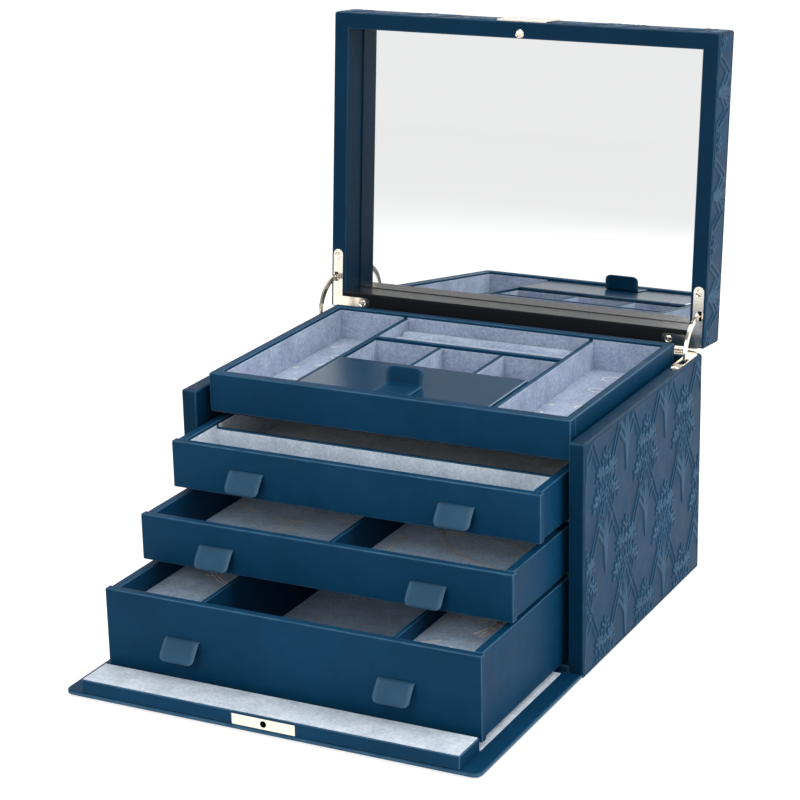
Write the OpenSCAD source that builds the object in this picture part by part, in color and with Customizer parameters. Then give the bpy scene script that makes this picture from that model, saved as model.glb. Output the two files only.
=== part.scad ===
// Jewelry box with three drawers, a fixed compartment tray, a mirrored lid on
// quadrant hinges and a fall front with a lock. Millimetres, +X to the right,
// +Y to the rear, +Z up. The origin is the centre of the casing's underside.
// The model stands open: lid up, drawers stepped out, fall front on the table.

/* [Casing] */
// Outer width of the casing
case_w = 290; // [280:1:300]
// Outer depth of the casing's side walls
case_d = 210; // [208:1:216]
// Height of the casing's side walls
case_h = 157; // [156:0.5:160]
// Thickness of a side wall
side_t = 11; // [10.5:0.5:12]
// Thickness of the back wall
back_t = 9; // [8:0.5:10]
// Thickness of the base board
base_t = 6.4; // [6:0.1:6.5]

/* [Drawers] */
// Width of a drawer front
front_w = 263; // [256:1:265]
// Thickness of a drawer front
front_t = 6; // [5:0.5:7]
// How far a drawer front overlaps each side of its box
front_overlap = 2; // [1:0.5:3]
// Thickness of the side walls of a drawer box
wall_t = 6; // [4:0.5:7]
// Length of a drawer from its front face to its back
drawer_len = 184; // [170:1:186]
// Height of the top drawer
drawer_1_h = 32.3; // [29:0.1:33]
// Height of the middle drawer
drawer_2_h = 31.5; // [29:0.1:31.9]
// Height of the bottom drawer
drawer_3_h = 55.9; // [50:0.1:56]
// How far the top drawer stands out of the casing
drawer_1_out = 36.5; // [0:0.5:90]
// How far the middle drawer stands out of the casing
drawer_2_out = 77.9; // [0:0.1:120]
// How far the bottom drawer stands out of the casing
drawer_3_out = 123.5; // [0:0.5:124]
// Width of a drawer's leather pull tab
tab_w = 25; // [18:1:30]
// Distance of a pull tab from the middle of the drawer
tab_x = 75; // [50:1:90]

/* [Tray] */
// Outer width of the compartment tray
tray_w = 260.8; // [256:0.2:262]
// Height of the tray's upper edge above the table
tray_top = 167; // [165:0.5:168]
// Lower edge of the tray's front board
tray_low = 140.5; // [140:0.5:142]
// Set-back of the tray behind the casing's front edges
tray_back = 12.2; // [12:0.2:13]
// Distance of the two long dividers from the middle
bay_x = 71.5; // [66:0.5:76]
// Thickness of a divider
div_t = 3; // [2:0.5:4]

/* [Lid] */
// Angle to which the lid stands open
lid_open = 95; // [90:1:100]
// Thickness of the lid
lid_h = 30; // [28:1:32]
// Width of the lid's rim
rim_w = 11.5; // [11:0.5:12]
// Depth of the mirror below the rim
mirror_sink = 22.5; // [20:0.5:24]
// Radius of the stays about the hinge pin
stay_r = 24.5; // [24:0.5:26]

/* [Fall front] */
// Thickness of the fall front's outer board
flap_t = 3.9; // [3.5:0.1:4]
// Height of the raised lock rail above the table
lip_top = 13.2; // [12.5:0.1:14]
// Depth of the raised lock rail
lip_d = 28; // [22:1:30]
// Height of the lock's centre line above the table
lock_z = 7.6; // [7.4:0.1:7.8]

/* [Hidden] */
leather = "#1d3c5a";
leather_dark = "#16304a";
suede = "#a9b6c9";
gold = "#d9c9a4";
glass = "#e8eef0";
eps = 0.01;
smooth = 48;

front_y = -case_d / 2;
rear_y = case_d / 2;
in_x = case_w / 2 - side_t;
in_rear = rear_y - back_t;

// Drawers: undersides, upper edges and how far each stands out, from the top one down
drawer_low = [102.2, 66.1, 7];
drawer_high = drawer_low + [drawer_1_h, drawer_2_h, drawer_3_h];
drawer_out = [drawer_1_out, drawer_2_out, drawer_3_out];

// Shelves: each lies just under the drawer that slides on it
glide = 0.4;
shelf_t = 2.4;
shelf_front = front_y + 13;
deck_top = 142.5;
deck_t = 5.5;

// Tray
tray_x = tray_w / 2;
tray_y0 = front_y + tray_back;
tray_y1 = rear_y - 15.4;
tray_front_t = 8;
tray_t = 6;
tray_in_x = tray_x - tray_t;
tray_in_y0 = tray_y0 + tray_front_t;
tray_in_y1 = tray_y1 - tray_t;
div_drop = 3;
long_top = tray_top - div_drop;
rail_y = tray_in_y0 + 64.3;
rail_top = 161.8;
ledge_h = 3.2;
ledge_d = 2;
cross_y = rail_y + 55.5;
bay_top = 162.4;
bay_div_t = 2.5;
bay_div_x = [-20, 26.7];
roll_count = 3;
roll_r = 7.3;
roll_gap = 0.6;

// Compartment lid: it turns about its rear edge
door_t = 2.6;
door_top = 164.8;
door_clear = 0.7;
door_x = bay_x - div_t / 2 - door_clear;
door_y0 = tray_in_y0 + 0.6;
door_y1 = rail_y + div_t / 2;
pull_w = 27.6;
pull_t = 1.4;
pull_h = 12.6;
pull_lean = 10;
pull_flat = 22;

// Lid in its closed place, and the hinge line
gap = 1;
leaf_t = 0.8;
leaf_sink = 0.45;
pin_y = rear_y + 1.9;
pin_z = case_h + gap / 2;
lid_z0 = case_h + gap;
lid_d = case_d + flap_t + 0.7;
lid_y0 = rear_y - lid_d;
lid_x = case_w / 2;
rim_top = lid_z0 + 25.5;
mirror_t = 3;
plate_w = 37.4;
plate_t = 1.2;
plate_edge = 2;
stud_in = 8.2;
stud_r = 1.6;
stud_len = 5;
stud_flange_r = 3.1;
stud_flange_t = 0.8;
stud_neck_r = 1;
stud_neck = [2.8, 4.3];

// Hinge leaves: a strap along the side and an arm along the rear
strap_w = 7.5;
strap_len = 43;
arm_w = 7.5;
arm_in = 113.5;
leaf_edge = 1;
web_in = 1;
knuckle_r = 1.5;
pin_r = 0.75;
pin_bore_r = 0.8;
knuckle_x = [115.7, 124, 132, 140.3];
knuckle_gap = 0.3;
screw_head_r = 2.6;
screw_r = 1.1;
screw_len = 7;
screw_fit = 0.02;
screw_slot = 0.5;
screw_strap = 38.5;
screw_arm = 119;

// Stays: a curved link on each lid leaf that dives into the side wall
stay_w = 4;
stay_t = 1.6;
stay_x0 = 139.7;
stay_sweep = 98;
eye_r = 2.2;
ear_t = 1;
ear_x0 = 138.4;
pivot_r = 0.8;
pivot_bore_r = 0.85;
slot_x0 = 137.7;
slot_x1 = 142.3;
slot_f0 = 5;
slot_f1 = 33.5;
slot_deep = 39.5;
slit_f0 = 19.5;
slit_f1 = 32.5;

// Fall front
flap_axis_y = front_y - 1.5;
flap_y1 = flap_axis_y - 0.7;
flap_y0 = flap_axis_y - 155.2;
flap_x = case_w / 2 - 0.4;
flap_corner = 6;
lining_x = front_w / 2 + 0.5;
lining_t = 0.5;
lip_x = front_w / 2 + 0.2;
lip_y0 = flap_y0 + 0.8;
lip_y1 = lip_y0 + lip_d;
lock_w = 44;
lock_h = 7;
lock_plate_t = 1.2;
case_lock_w = 38;
case_lock_d = 16;
plate_proud = 0.1;
key_w = 12;
key_l = 18;
key_t = 0.8;
key_y = lip_y0 + 12;
bolt_y = lip_y0 + 1.9;
bolt_t = 1.1;
bolt_h = 3.6;
bolt_len = 11;
bolt_x = 2.6;
bolt_travel = 3;
bolt_clear = 0.2;

// Drawers
tab_t = 1.5;
tab_len = 15.2;
tab_lean = 35;
tab_drop = [15.2, 15.4, 26.1];
bottom_t = 3;
bottom_lift = 1;
divider_drop = 4;
back_board_t = 5;
cross_in = 38;
quarter_x = 67.5;
pad_drop = 15;

// A block given by its two corners
module block(low, high) {
    translate(low)
        cube(high - low);
}

// A block that spans the middle, from -x to x
module wide(x, low, high) {
    block([-x, low[0], low[1]], [x, high[0], high[1]]);
}

// An outline in Y and Z, drawn out along X from x0 by len
module along_x(x0, len) {
    translate([x0, 0, 0])
        rotate([90, 0, 90])
            linear_extrude(len)
                children();
}

// The same piece on the left, mirrored
module left() {
    mirror([1, 0, 0])
        children();
}

// Turns what lies in the casing's top over into the closed lid's underside
module upturned() {
    translate([0, 0, case_h + lid_z0])
        mirror([0, 0, 1])
            children();
}

// Turns lid pieces from their closed place to the open lid
module opened() {
    translate([0, pin_y, pin_z])
        rotate([-lid_open, 0, 0])
            translate([0, -pin_y, -pin_z])
                children();
}

// ---------- casing ----------

module base_board() {
    color(leather_dark)
        wide(in_x, [front_y + 1.4, 0], [in_rear, base_t]);
}

// Plan of the right-hand hinge leaf without its knuckles
module leaf_plan() {
    strap_x = (lid_x + in_x) / 2;
    strap_round_y = rear_y - strap_len + strap_w / 2;
    arm_y = rear_y - leaf_edge - arm_w / 2;
    translate([strap_x, strap_round_y])
        circle(r = strap_w / 2, $fn = smooth);
    translate([strap_x - strap_w / 2, strap_round_y])
        square([strap_w, rear_y - leaf_edge - strap_round_y]);
    translate([arm_in + arm_w / 2, arm_y])
        circle(r = arm_w / 2, $fn = smooth);
    translate([arm_in + arm_w / 2, arm_y - arm_w / 2])
        square([strap_x - arm_in - arm_w / 2, arm_w]);
}

module stay_mortise() {
    block([slot_x0, pin_y - slot_f1, case_h - slot_deep],
          [slot_x1, pin_y - slot_f0, case_h + eps]);
}

// Outline let into the boards: the leaf, and the room for its knuckles' webs
module recess_plan() {
    leaf_plan();
    translate([knuckle_x[0] - knuckle_gap, rear_y - arm_w])
        square([knuckle_x[3] - knuckle_x[0] + 2 * knuckle_gap, arm_w + 1]);
}

module base_leaf_recess() {
    translate([0, 0, case_h - leaf_sink])
        linear_extrude(1)
            recess_plan();
}

// Where the screws of a right-hand leaf are
screw_places = [
    [(lid_x + in_x) / 2, rear_y - screw_strap],
    [screw_arm, rear_y - leaf_edge - arm_w / 2]
];

// Holes in the boards for the screws of one leaf, which drive down from z
module screw_holes(z) {
    for (at = screw_places)
        translate([at[0], at[1], z - screw_len])
            cylinder(r = screw_r, h = screw_len + eps, $fn = smooth);
}

// The heads' countersinks in a leaf between z and z + leaf_t: r0 at the bottom, r1 on top
module countersinks(z, r0, r1) {
    for (at = screw_places)
        translate([at[0], at[1], z])
            cylinder(r1 = r0, r2 = r1, h = leaf_t, $fn = smooth);
}

module side_board() {
    difference() {
        block([in_x, front_y, 0], [lid_x, rear_y, case_h]);
        stay_mortise();
        base_leaf_recess();
        screw_holes(case_h);
    }
}

module side_wall_left() {
    color(leather)
        left()
            side_board();
}

module side_wall_right() {
    color(leather)
        side_board();
}

module back_wall() {
    color(leather)
        difference() {
            wide(in_x, [in_rear, 0], [rear_y, case_h]);
            for (turn = [0, 1])
                mirror([turn, 0, 0]) {
                    base_leaf_recess();
                    screw_holes(case_h);
                }
        }
}

// A shelf under the drawer whose underside is at z
module shelf(z) {
    wide(in_x, [shelf_front, z - glide - shelf_t], [in_rear, z - glide]);
}

module lower_shelf() {
    color(leather_dark)
        shelf(drawer_low[1]);
}

module upper_shelf() {
    color(leather_dark)
        shelf(drawer_low[0]);
}

module deck_board() {
    color(leather_dark)
        wide(in_x, [tray_in_y0, deck_top - deck_t], [in_rear, deck_top]);
}

// ---------- tray ----------

module tray_front() {
    color(leather)
        wide(tray_x, [tray_y0, tray_low], [tray_in_y0, tray_top]);
}

module tray_back_wall() {
    color(leather)
        wide(tray_x, [tray_in_y1, deck_top], [tray_y1, tray_top]);
}

module tray_side() {
    block([tray_in_x, tray_in_y0, deck_top], [tray_x, tray_in_y1, tray_top]);
}

module tray_side_left() {
    color(leather)
        left()
            tray_side();
}

module tray_side_right() {
    color(leather)
        tray_side();
}

module long_divider() {
    block([bay_x - div_t / 2, tray_in_y0, deck_top],
          [bay_x + div_t / 2, tray_in_y1, long_top]);
}

module tray_divider_left() {
    color(leather_dark)
        left()
            long_divider();
}

module tray_divider_right() {
    color(leather_dark)
        long_divider();
}

module tray_cross_divider() {
    color(leather_dark)
        wide(bay_x - div_t / 2, [cross_y - div_t / 2, deck_top],
             [cross_y + div_t / 2, long_top]);
}

// What the compartment lid rests on: a divider at its rear, a ledge at its front
module tray_lid_rails() {
    color(leather_dark) {
        wide(bay_x - div_t / 2, [rail_y - div_t / 2, deck_top],
             [rail_y + div_t / 2, rail_top]);
        wide(bay_x - div_t / 2, [tray_in_y0, rail_top - ledge_h],
             [tray_in_y0 + ledge_d, rail_top]);
    }
}

module tray_bay_dividers() {
    color(leather_dark)
        for (x = bay_div_x)
            block([x - bay_div_t / 2, rail_y + div_t / 2, deck_top],
                  [x + bay_div_t / 2, cross_y - div_t / 2, bay_top]);
}

// Padded rolls that grip rings between them
module ring_rolls() {
    first_y = cross_y + div_t / 2 + roll_gap + roll_r;
    pitch = 2 * roll_r + roll_gap;
    x = bay_x - div_t / 2 - roll_gap;
    color(suede)
        for (i = [0 : roll_count - 1])
            translate([-x, first_y + i * pitch, deck_top + roll_r])
                rotate([0, 90, 0])
                    cylinder(r = roll_r, h = 2 * x, $fn = smooth);
}

module compartment_lid() {
    color(leather)
        wide(door_x, [door_y0, door_top - door_t], [door_y1, door_top]);
}

// Leather tab: a flat foot on the compartment lid, then a leaning grip
module compartment_tab() {
    crease_y = door_y0 + pull_flat;
    color(leather)
        along_x(-pull_w / 2, pull_w)
            translate([crease_y, door_top]) {
                translate([-pull_flat, 0])
                    square([pull_flat, pull_t]);
                rotate(-pull_lean)
                    translate([-pull_t, 0])
                        square([pull_t, pull_h]);
            }
}

// ---------- hinges ----------

module knuckle(x0, x1) {
    translate([x0, pin_y, pin_z])
        rotate([0, 90, 0])
            difference() {
                cylinder(r = knuckle_r, h = x1 - x0, $fn = smooth);
                translate([0, 0, -1])
                    cylinder(r = pin_bore_r, h = x1 - x0 + 2, $fn = smooth);
            }
}

// Web that joins the leaf's plate to its knuckle, clear of the pin
module knuckle_web(x0, x1, z0) {
    difference() {
        block([x0, rear_y - leaf_edge - web_in, z0], [x1, pin_y, z0 + leaf_t]);
        translate([x0 - 1, pin_y, pin_z])
            rotate([0, 90, 0])
                cylinder(r = pin_bore_r, h = x1 - x0 + 2, $fn = smooth);
    }
}

module base_leaf() {
    z0 = case_h - leaf_sink;
    x0 = knuckle_x[1] + knuckle_gap;
    x1 = knuckle_x[2] - knuckle_gap;
    difference() {
        translate([0, 0, z0])
            linear_extrude(leaf_t)
                leaf_plan();
        block([slot_x0, pin_y - slit_f1, z0 - 1], [slot_x1, pin_y - slit_f0, z0 + 2]);
        countersinks(z0, screw_r, screw_head_r);
    }
    knuckle_web(x0, x1, z0);
    knuckle(x0, x1);
}

module hinge_base_leaf_left() {
    color(gold)
        left()
            base_leaf();
}

module hinge_base_leaf_right() {
    color(gold)
        base_leaf();
}

// Slotted wood screws of one leaf. Their heads are cones between z and z + leaf_t, from
// r0 to r1, and the shanks reach from shank_z up by the screw's length
module screws(z, r0, r1, shank_z, slot_z) {
    for (at = screw_places)
        translate([at[0], at[1], 0])
            difference() {
                union() {
                    translate([0, 0, shank_z])
                        cylinder(r = screw_r - screw_fit, h = screw_len, $fn = smooth);
                    translate([0, 0, z])
                        cylinder(r1 = r0 - screw_fit, r2 = r1 - screw_fit, h = leaf_t, $fn = smooth);
                }
                translate([-screw_head_r, -screw_slot / 2, slot_z])
                    cube([2 * screw_head_r, screw_slot, 1]);
            }
}

module hinge_base_screws() {
    z = case_h - leaf_sink;
    top = z + leaf_t;
    color(gold)
        for (turn = [0, 1])
            mirror([turn, 0, 0])
                screws(z, screw_r, screw_head_r, top - screw_len, top - screw_slot);
}

module hinge_pins() {
    color(gold)
        for (turn = [0, 1])
            mirror([turn, 0, 0])
                translate([knuckle_x[0], pin_y, pin_z])
                    rotate([0, 90, 0])
                        cylinder(r = pin_r, h = knuckle_x[3] - knuckle_x[0], $fn = smooth);
}

// Ear under the lid leaf that carries the stay's pivot
module stay_ear() {
    y = pin_y - stay_r;
    translate([ear_x0, y, pin_z])
        rotate([0, 90, 0])
            cylinder(r = eye_r, h = ear_t, $fn = smooth);
    block([ear_x0, y - eye_r, pin_z], [ear_x0 + ear_t, y + eye_r, lid_z0 + leaf_sink]);
    translate([ear_x0, y, pin_z])
        rotate([0, 90, 0])
            cylinder(r = pivot_r, h = slot_x1 - 0.6 - ear_x0, $fn = smooth);
}

module lid_leaf() {
    z0 = lid_z0 + leaf_sink - leaf_t;
    pivot_y = pin_y - stay_r;
    difference() {
        translate([0, 0, z0])
            linear_extrude(leaf_t)
                leaf_plan();
        block([ear_x0 + ear_t, pivot_y - eye_r - 1.2, z0 - 1],
              [slot_x1, pivot_y + eye_r + 1.2, z0 + 2]);
        countersinks(z0, screw_head_r, screw_r);
    }
    for (i = [0, 2]) {
        knuckle_web(knuckle_x[i], knuckle_x[i + 1], z0);
        knuckle(knuckle_x[i], knuckle_x[i + 1]);
    }
    stay_ear();
}

module hinge_lid_leaf_left() {
    color(gold)
        opened()
            left()
                lid_leaf();
}

module hinge_lid_leaf_right() {
    color(gold)
        opened()
            lid_leaf();
}

module hinge_lid_screws() {
    z = lid_z0 + leaf_sink - leaf_t;
    color(gold)
        opened()
            for (turn = [0, 1])
                mirror([turn, 0, 0])
                    screws(z, screw_head_r, screw_r, z, z + screw_slot - 1);
}

// A ring sector about the hinge pin with an eye at its upper end
module stay() {
    a0 = 180 - lid_open;
    a1 = a0 + stay_sweep;
    middle = a0 + stay_sweep / 2;
    reach = 2 * stay_r;
    eye = [pin_y + stay_r * cos(a0), pin_z + stay_r * sin(a0)];
    difference() {
        along_x(stay_x0, stay_t) {
            translate([pin_y, pin_z])
                intersection() {
                    difference() {
                        circle(r = stay_r + stay_w / 2, $fn = 96);
                        circle(r = stay_r - stay_w / 2, $fn = 96);
                    }
                    polygon([
                        [0, 0],
                        reach * [cos(a0), sin(a0)],
                        reach * [cos(middle), sin(middle)],
                        reach * [cos(a1), sin(a1)]
                    ]);
                }
            translate(eye)
                circle(r = eye_r, $fn = smooth);
            translate([pin_y + stay_r * cos(a1), pin_z + stay_r * sin(a1)])
                circle(r = stay_w / 2, $fn = smooth);
        }
        translate([stay_x0 - 1, eye[0], eye[1]])
            rotate([0, 90, 0])
                cylinder(r = pivot_bore_r, h = stay_t + 2, $fn = smooth);
    }
}

module lid_stay_left() {
    color(gold)
        left()
            stay();
}

module lid_stay_right() {
    color(gold)
        stay();
}

// ---------- lid ----------

module lid_top_board() {
    color(leather)
        opened()
            wide(lid_x, [lid_y0, rim_top], [rear_y, lid_z0 + lid_h]);
}

// Mitred rails: each outline runs along the lid's edge and back along the opening
module rim_rail(outline) {
    translate([0, 0, lid_z0])
        linear_extrude(rim_top - lid_z0)
            polygon(outline);
}

module lid_rim_front() {
    color(leather)
        opened()
            difference() {
                rim_rail([
                    [-lid_x, lid_y0], [lid_x, lid_y0],
                    [lid_x - rim_w, lid_y0 + rim_w], [-lid_x + rim_w, lid_y0 + rim_w]
                ]);
                translate([0, lid_y0 + stud_in, lid_z0 - 1])
                    cylinder(r = stud_r + screw_fit, h = screw_len + 1, $fn = smooth);
            }
}

module lid_rim_rear() {
    color(leather)
        opened()
            difference() {
                rim_rail([
                    [-lid_x, rear_y], [-lid_x + rim_w, rear_y - rim_w],
                    [lid_x - rim_w, rear_y - rim_w], [lid_x, rear_y]
                ]);
                lid_leaf_recesses();
            }
}

module lid_leaf_recesses() {
    for (turn = [0, 1])
        mirror([turn, 0, 0]) {
            upturned() {
                base_leaf_recess();
                screw_holes(case_h);
            }
            block([slot_x0, pin_y - stay_r - 4, lid_z0 - 1],
                  [slot_x1, pin_y - stay_r + 4, lid_z0 + 3]);
        }
}

module side_rail() {
    difference() {
        rim_rail([
            [lid_x, lid_y0], [lid_x, rear_y],
            [lid_x - rim_w, rear_y - rim_w], [lid_x - rim_w, lid_y0 + rim_w]
        ]);
        lid_leaf_recesses();
    }
}

module lid_rim_left() {
    color(leather)
        opened()
            left()
                side_rail();
}

module lid_rim_right() {
    color(leather)
        opened()
            side_rail();
}

module lid_mirror() {
    z0 = lid_z0 + mirror_sink;
    color(glass)
        opened()
            wide(lid_x - rim_w, [lid_y0 + rim_w, z0], [rear_y - rim_w, z0 + mirror_t]);
}

module lid_front_plate() {
    color(gold)
        opened()
            wide(plate_w / 2, [lid_y0 - plate_t, lid_z0 + plate_edge],
                 [lid_y0, lid_z0 + lid_h - plate_edge]);
}

// Stud that the lock catches, with a groove for the bolt and a flange
module lock_stud() {
    color(gold)
        opened()
            translate([0, lid_y0 + stud_in, lid_z0])
                rotate_extrude($fn = smooth)
                    polygon([
                        [0, screw_len], [stud_r, screw_len], [stud_r, 0],
                        [stud_flange_r, 0], [stud_flange_r, -stud_flange_t / 2],
                        [stud_flange_r - 0.4, -stud_flange_t], [stud_r, -stud_flange_t],
                        [stud_r, -stud_neck[0]], [stud_neck_r, -stud_neck[0]],
                        [stud_neck_r, -stud_neck[1]], [stud_r, -stud_neck[1]],
                        [stud_neck_r, -stud_len], [0, -stud_len]
                    ]);
}

// ---------- fall front ----------

module flap_plan() {
    r = flap_corner;
    for (side = [-1, 1])
        translate([side * (flap_x - r), flap_y0 + r])
            circle(r = r, $fn = smooth);
    translate([-flap_x + r, flap_y0])
        square([2 * (flap_x - r), r + 1]);
    translate([-flap_x, flap_y0 + r])
        square([2 * flap_x, flap_y1 - flap_y0 - r]);
}

module flap_board() {
    color(leather)
        difference() {
            linear_extrude(flap_t)
                flap_plan();
            block([-key_w / 2, key_y - key_l / 2, -1], [key_w / 2, key_y + key_l / 2, key_t + 0.1]);
            translate([0, key_y, -1])
                cylinder(r = 2, h = flap_t + 2, $fn = smooth);
        }
}

module flap_lining() {
    color(suede)
        wide(lining_x, [lip_y1, flap_t], [flap_y1 - 4, flap_t + lining_t]);
}

module flap_lock_rail() {
    color(suede)
        difference() {
            wide(lip_x, [lip_y0, flap_t], [lip_y1, lip_top]);
            wide(lock_w / 2, [lip_y0 - 1, lock_z - lock_h / 2],
                 [lip_y0 + lock_plate_t, lock_z + lock_h / 2]);
            wide(case_lock_w / 2, [lip_y0, lock_z - lock_h / 2],
                 [lip_y0 + lock_plate_t + case_lock_d, lock_z + lock_h / 2]);
            translate([0, key_y, 0])
                cylinder(r = 2, h = lock_z, $fn = smooth);
        }
}

// Leather strip that joins the fall front to the base
module flap_hinge_strip() {
    color(leather)
        wide(lining_x, [flap_y1 + 0.2, 1.6], [front_y + 1.4, 2.4]);
}

module stud_hole(y0, len) {
    translate([0, y0, lock_z])
        rotate([-90, 0, 0])
            cylinder(r = 2.2, h = len, $fn = smooth);
}

module lock_plate() {
    color(gold)
        difference() {
            wide(lock_w / 2, [lip_y0 - plate_proud, lock_z - lock_h / 2],
                 [lip_y0 + lock_plate_t, lock_z + lock_h / 2]);
            stud_hole(lip_y0 - 1, lock_plate_t + 2);
        }
}

module lock_case() {
    y0 = lip_y0 + lock_plate_t;
    color(gold)
        difference() {
            wide(case_lock_w / 2, [y0, lock_z - lock_h / 2],
                 [y0 + case_lock_d, lock_z + lock_h / 2]);
            stud_hole(y0 - 1, 6);
            block([bolt_x - bolt_travel - bolt_clear, bolt_y - bolt_clear,
                   lock_z - bolt_h / 2 - bolt_clear],
                  [bolt_x + bolt_len + bolt_clear, bolt_y + bolt_t + bolt_clear,
                   lock_z + bolt_h / 2 + bolt_clear]);
            translate([0, key_y, lock_z - lock_h / 2 - 1])
                cylinder(r = 2, h = 4, $fn = smooth);
        }
}

module lock_bolt() {
    color(gold)
        block([bolt_x, bolt_y, lock_z - bolt_h / 2],
              [bolt_x + bolt_len, bolt_y + bolt_t, lock_z + bolt_h / 2]);
}

// Plate round the keyhole, let into the outer face of the fall front
module keyhole_plate() {
    color(gold)
        difference() {
            block([-key_w / 2 + 0.1, key_y - key_l / 2 + 0.1, 0.1],
                  [key_w / 2 - 0.1, key_y + key_l / 2 - 0.1, key_t + 0.1]);
            translate([0, key_y, -1])
                cylinder(r = 1.3, h = 3, $fn = smooth);
            block([-0.6, key_y - 4, -1], [0.6, key_y, 2]);
        }
}

// ---------- drawers ----------

function face_y(i) = front_y - drawer_out[i];
function wall_x() = front_w / 2 - front_overlap;
function box_y0(i) = face_y(i) + front_t;
function box_y1(i) = face_y(i) + drawer_len;
function divider_top(i) = drawer_high[i] - divider_drop;
function floor_z(i) = drawer_low[i] + bottom_lift + bottom_t;

module drawer_front(i) {
    color(leather)
        wide(front_w / 2, [face_y(i), drawer_low[i]], [box_y0(i), drawer_high[i]]);
}

// Two sides and a back, open at the front board
module drawer_walls(i) {
    color(leather_dark)
        difference() {
            wide(wall_x(), [box_y0(i), drawer_low[i]], [box_y1(i), drawer_high[i]]);
            wide(wall_x() - wall_t, [box_y0(i) - 1, drawer_low[i] - 1],
                 [box_y1(i) - back_board_t, drawer_high[i] + 1]);
        }
}

module drawer_bottom(i) {
    color(suede)
        wide(wall_x() - wall_t, [box_y0(i), drawer_low[i] + bottom_lift],
             [box_y1(i) - back_board_t, floor_z(i)]);
}

// A pair of leather pull tabs that hang from creases on the drawer front
module drawer_tabs(i) {
    crease_z = drawer_high[i] - tab_drop[i];
    color(leather)
        for (x = [-tab_x, tab_x])
            along_x(x - tab_w / 2, tab_w)
                translate([face_y(i), crease_z]) {
                    translate([-tab_t, -tab_t])
                        square([tab_t, 2 * tab_t]);
                    rotate(-90 - tab_lean)
                        translate([0, -tab_t])
                            square([tab_len, tab_t]);
                }
}

module drawer_1_front() {
    drawer_front(0);
}

module drawer_1_walls() {
    drawer_walls(0);
}

module drawer_1_bottom() {
    drawer_bottom(0);
}

module drawer_1_divider() {
    y = box_y0(0) + cross_in;
    color(leather_dark)
        wide(wall_x() - wall_t, [y, floor_z(0)], [y + div_t, divider_top(0)]);
}

module drawer_1_tabs() {
    drawer_tabs(0);
}

module drawer_2_front() {
    drawer_front(1);
}

module drawer_2_walls() {
    drawer_walls(1);
}

module drawer_2_bottom() {
    drawer_bottom(1);
}

module drawer_2_divider() {
    color(leather_dark)
        wide(div_t / 2, [box_y0(1), floor_z(1)],
             [box_y1(1) - back_board_t, divider_top(1)]);
}

module drawer_2_tabs() {
    drawer_tabs(1);
}

module drawer_3_front() {
    drawer_front(2);
}

module drawer_3_walls() {
    drawer_walls(2);
}

module drawer_3_bottom() {
    drawer_bottom(2);
}

module drawer_3_dividers() {
    color(leather_dark)
        for (x = [-quarter_x, quarter_x])
            block([x - div_t / 2, box_y0(2), floor_z(2)],
                  [x + div_t / 2, box_y1(2) - back_board_t, divider_top(2)]);
}

module drawer_3_tabs() {
    drawer_tabs(2);
}

// Raised floors of the two outer bays of the deep drawer
module drawer_3_pads() {
    color(suede)
        for (turn = [0, 1])
            mirror([turn, 0, 0])
                block([quarter_x + div_t / 2, box_y0(2), floor_z(2)],
                      [wall_x() - wall_t, box_y1(2) - back_board_t,
                       drawer_high[2] - pad_drop]);
}

base_board();
side_wall_left();
side_wall_right();
back_wall();
lower_shelf();
upper_shelf();
deck_board();
tray_front();
tray_back_wall();
tray_side_left();
tray_side_right();
tray_divider_left();
tray_divider_right();
tray_cross_divider();
tray_lid_rails();
tray_bay_dividers();
ring_rolls();
compartment_lid();
compartment_tab();
hinge_base_leaf_left();
hinge_base_leaf_right();
hinge_base_screws();
hinge_pins();
hinge_lid_leaf_left();
hinge_lid_leaf_right();
hinge_lid_screws();
lid_stay_left();
lid_stay_right();
lid_top_board();
lid_rim_front();
lid_rim_rear();
lid_rim_left();
lid_rim_right();
lid_mirror();
lid_front_plate();
lock_stud();
flap_board();
flap_lining();
flap_lock_rail();
flap_hinge_strip();
lock_plate();
lock_case();
lock_bolt();
keyhole_plate();
drawer_1_front();
drawer_1_walls();
drawer_1_bottom();
drawer_1_divider();
drawer_1_tabs();
drawer_2_front();
drawer_2_walls();
drawer_2_bottom();
drawer_2_divider();
drawer_2_tabs();
drawer_3_front();
drawer_3_walls();
drawer_3_bottom();
drawer_3_dividers();
drawer_3_tabs();
drawer_3_pads();
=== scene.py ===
import math

import bpy
import numpy as np
from mathutils import Matrix, Vector


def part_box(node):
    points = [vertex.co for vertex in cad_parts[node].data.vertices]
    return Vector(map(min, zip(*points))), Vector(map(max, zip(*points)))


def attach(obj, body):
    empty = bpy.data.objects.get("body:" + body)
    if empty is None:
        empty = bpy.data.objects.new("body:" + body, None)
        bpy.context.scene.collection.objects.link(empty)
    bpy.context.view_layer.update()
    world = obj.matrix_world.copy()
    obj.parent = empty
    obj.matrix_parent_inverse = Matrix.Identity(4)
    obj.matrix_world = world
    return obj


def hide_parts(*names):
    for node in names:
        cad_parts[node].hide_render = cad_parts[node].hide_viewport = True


bl_info = {
    "name": "Jewelry box",
    "version": (1, 0, 0),
    "blender": (4, 5, 0),
    "location": "3D View > Sidebar > Jewelry Box",
    "description": "Leather and suede jewelry box with a mirrored lid and drawers",
    "category": "Add Mesh",
}

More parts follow.
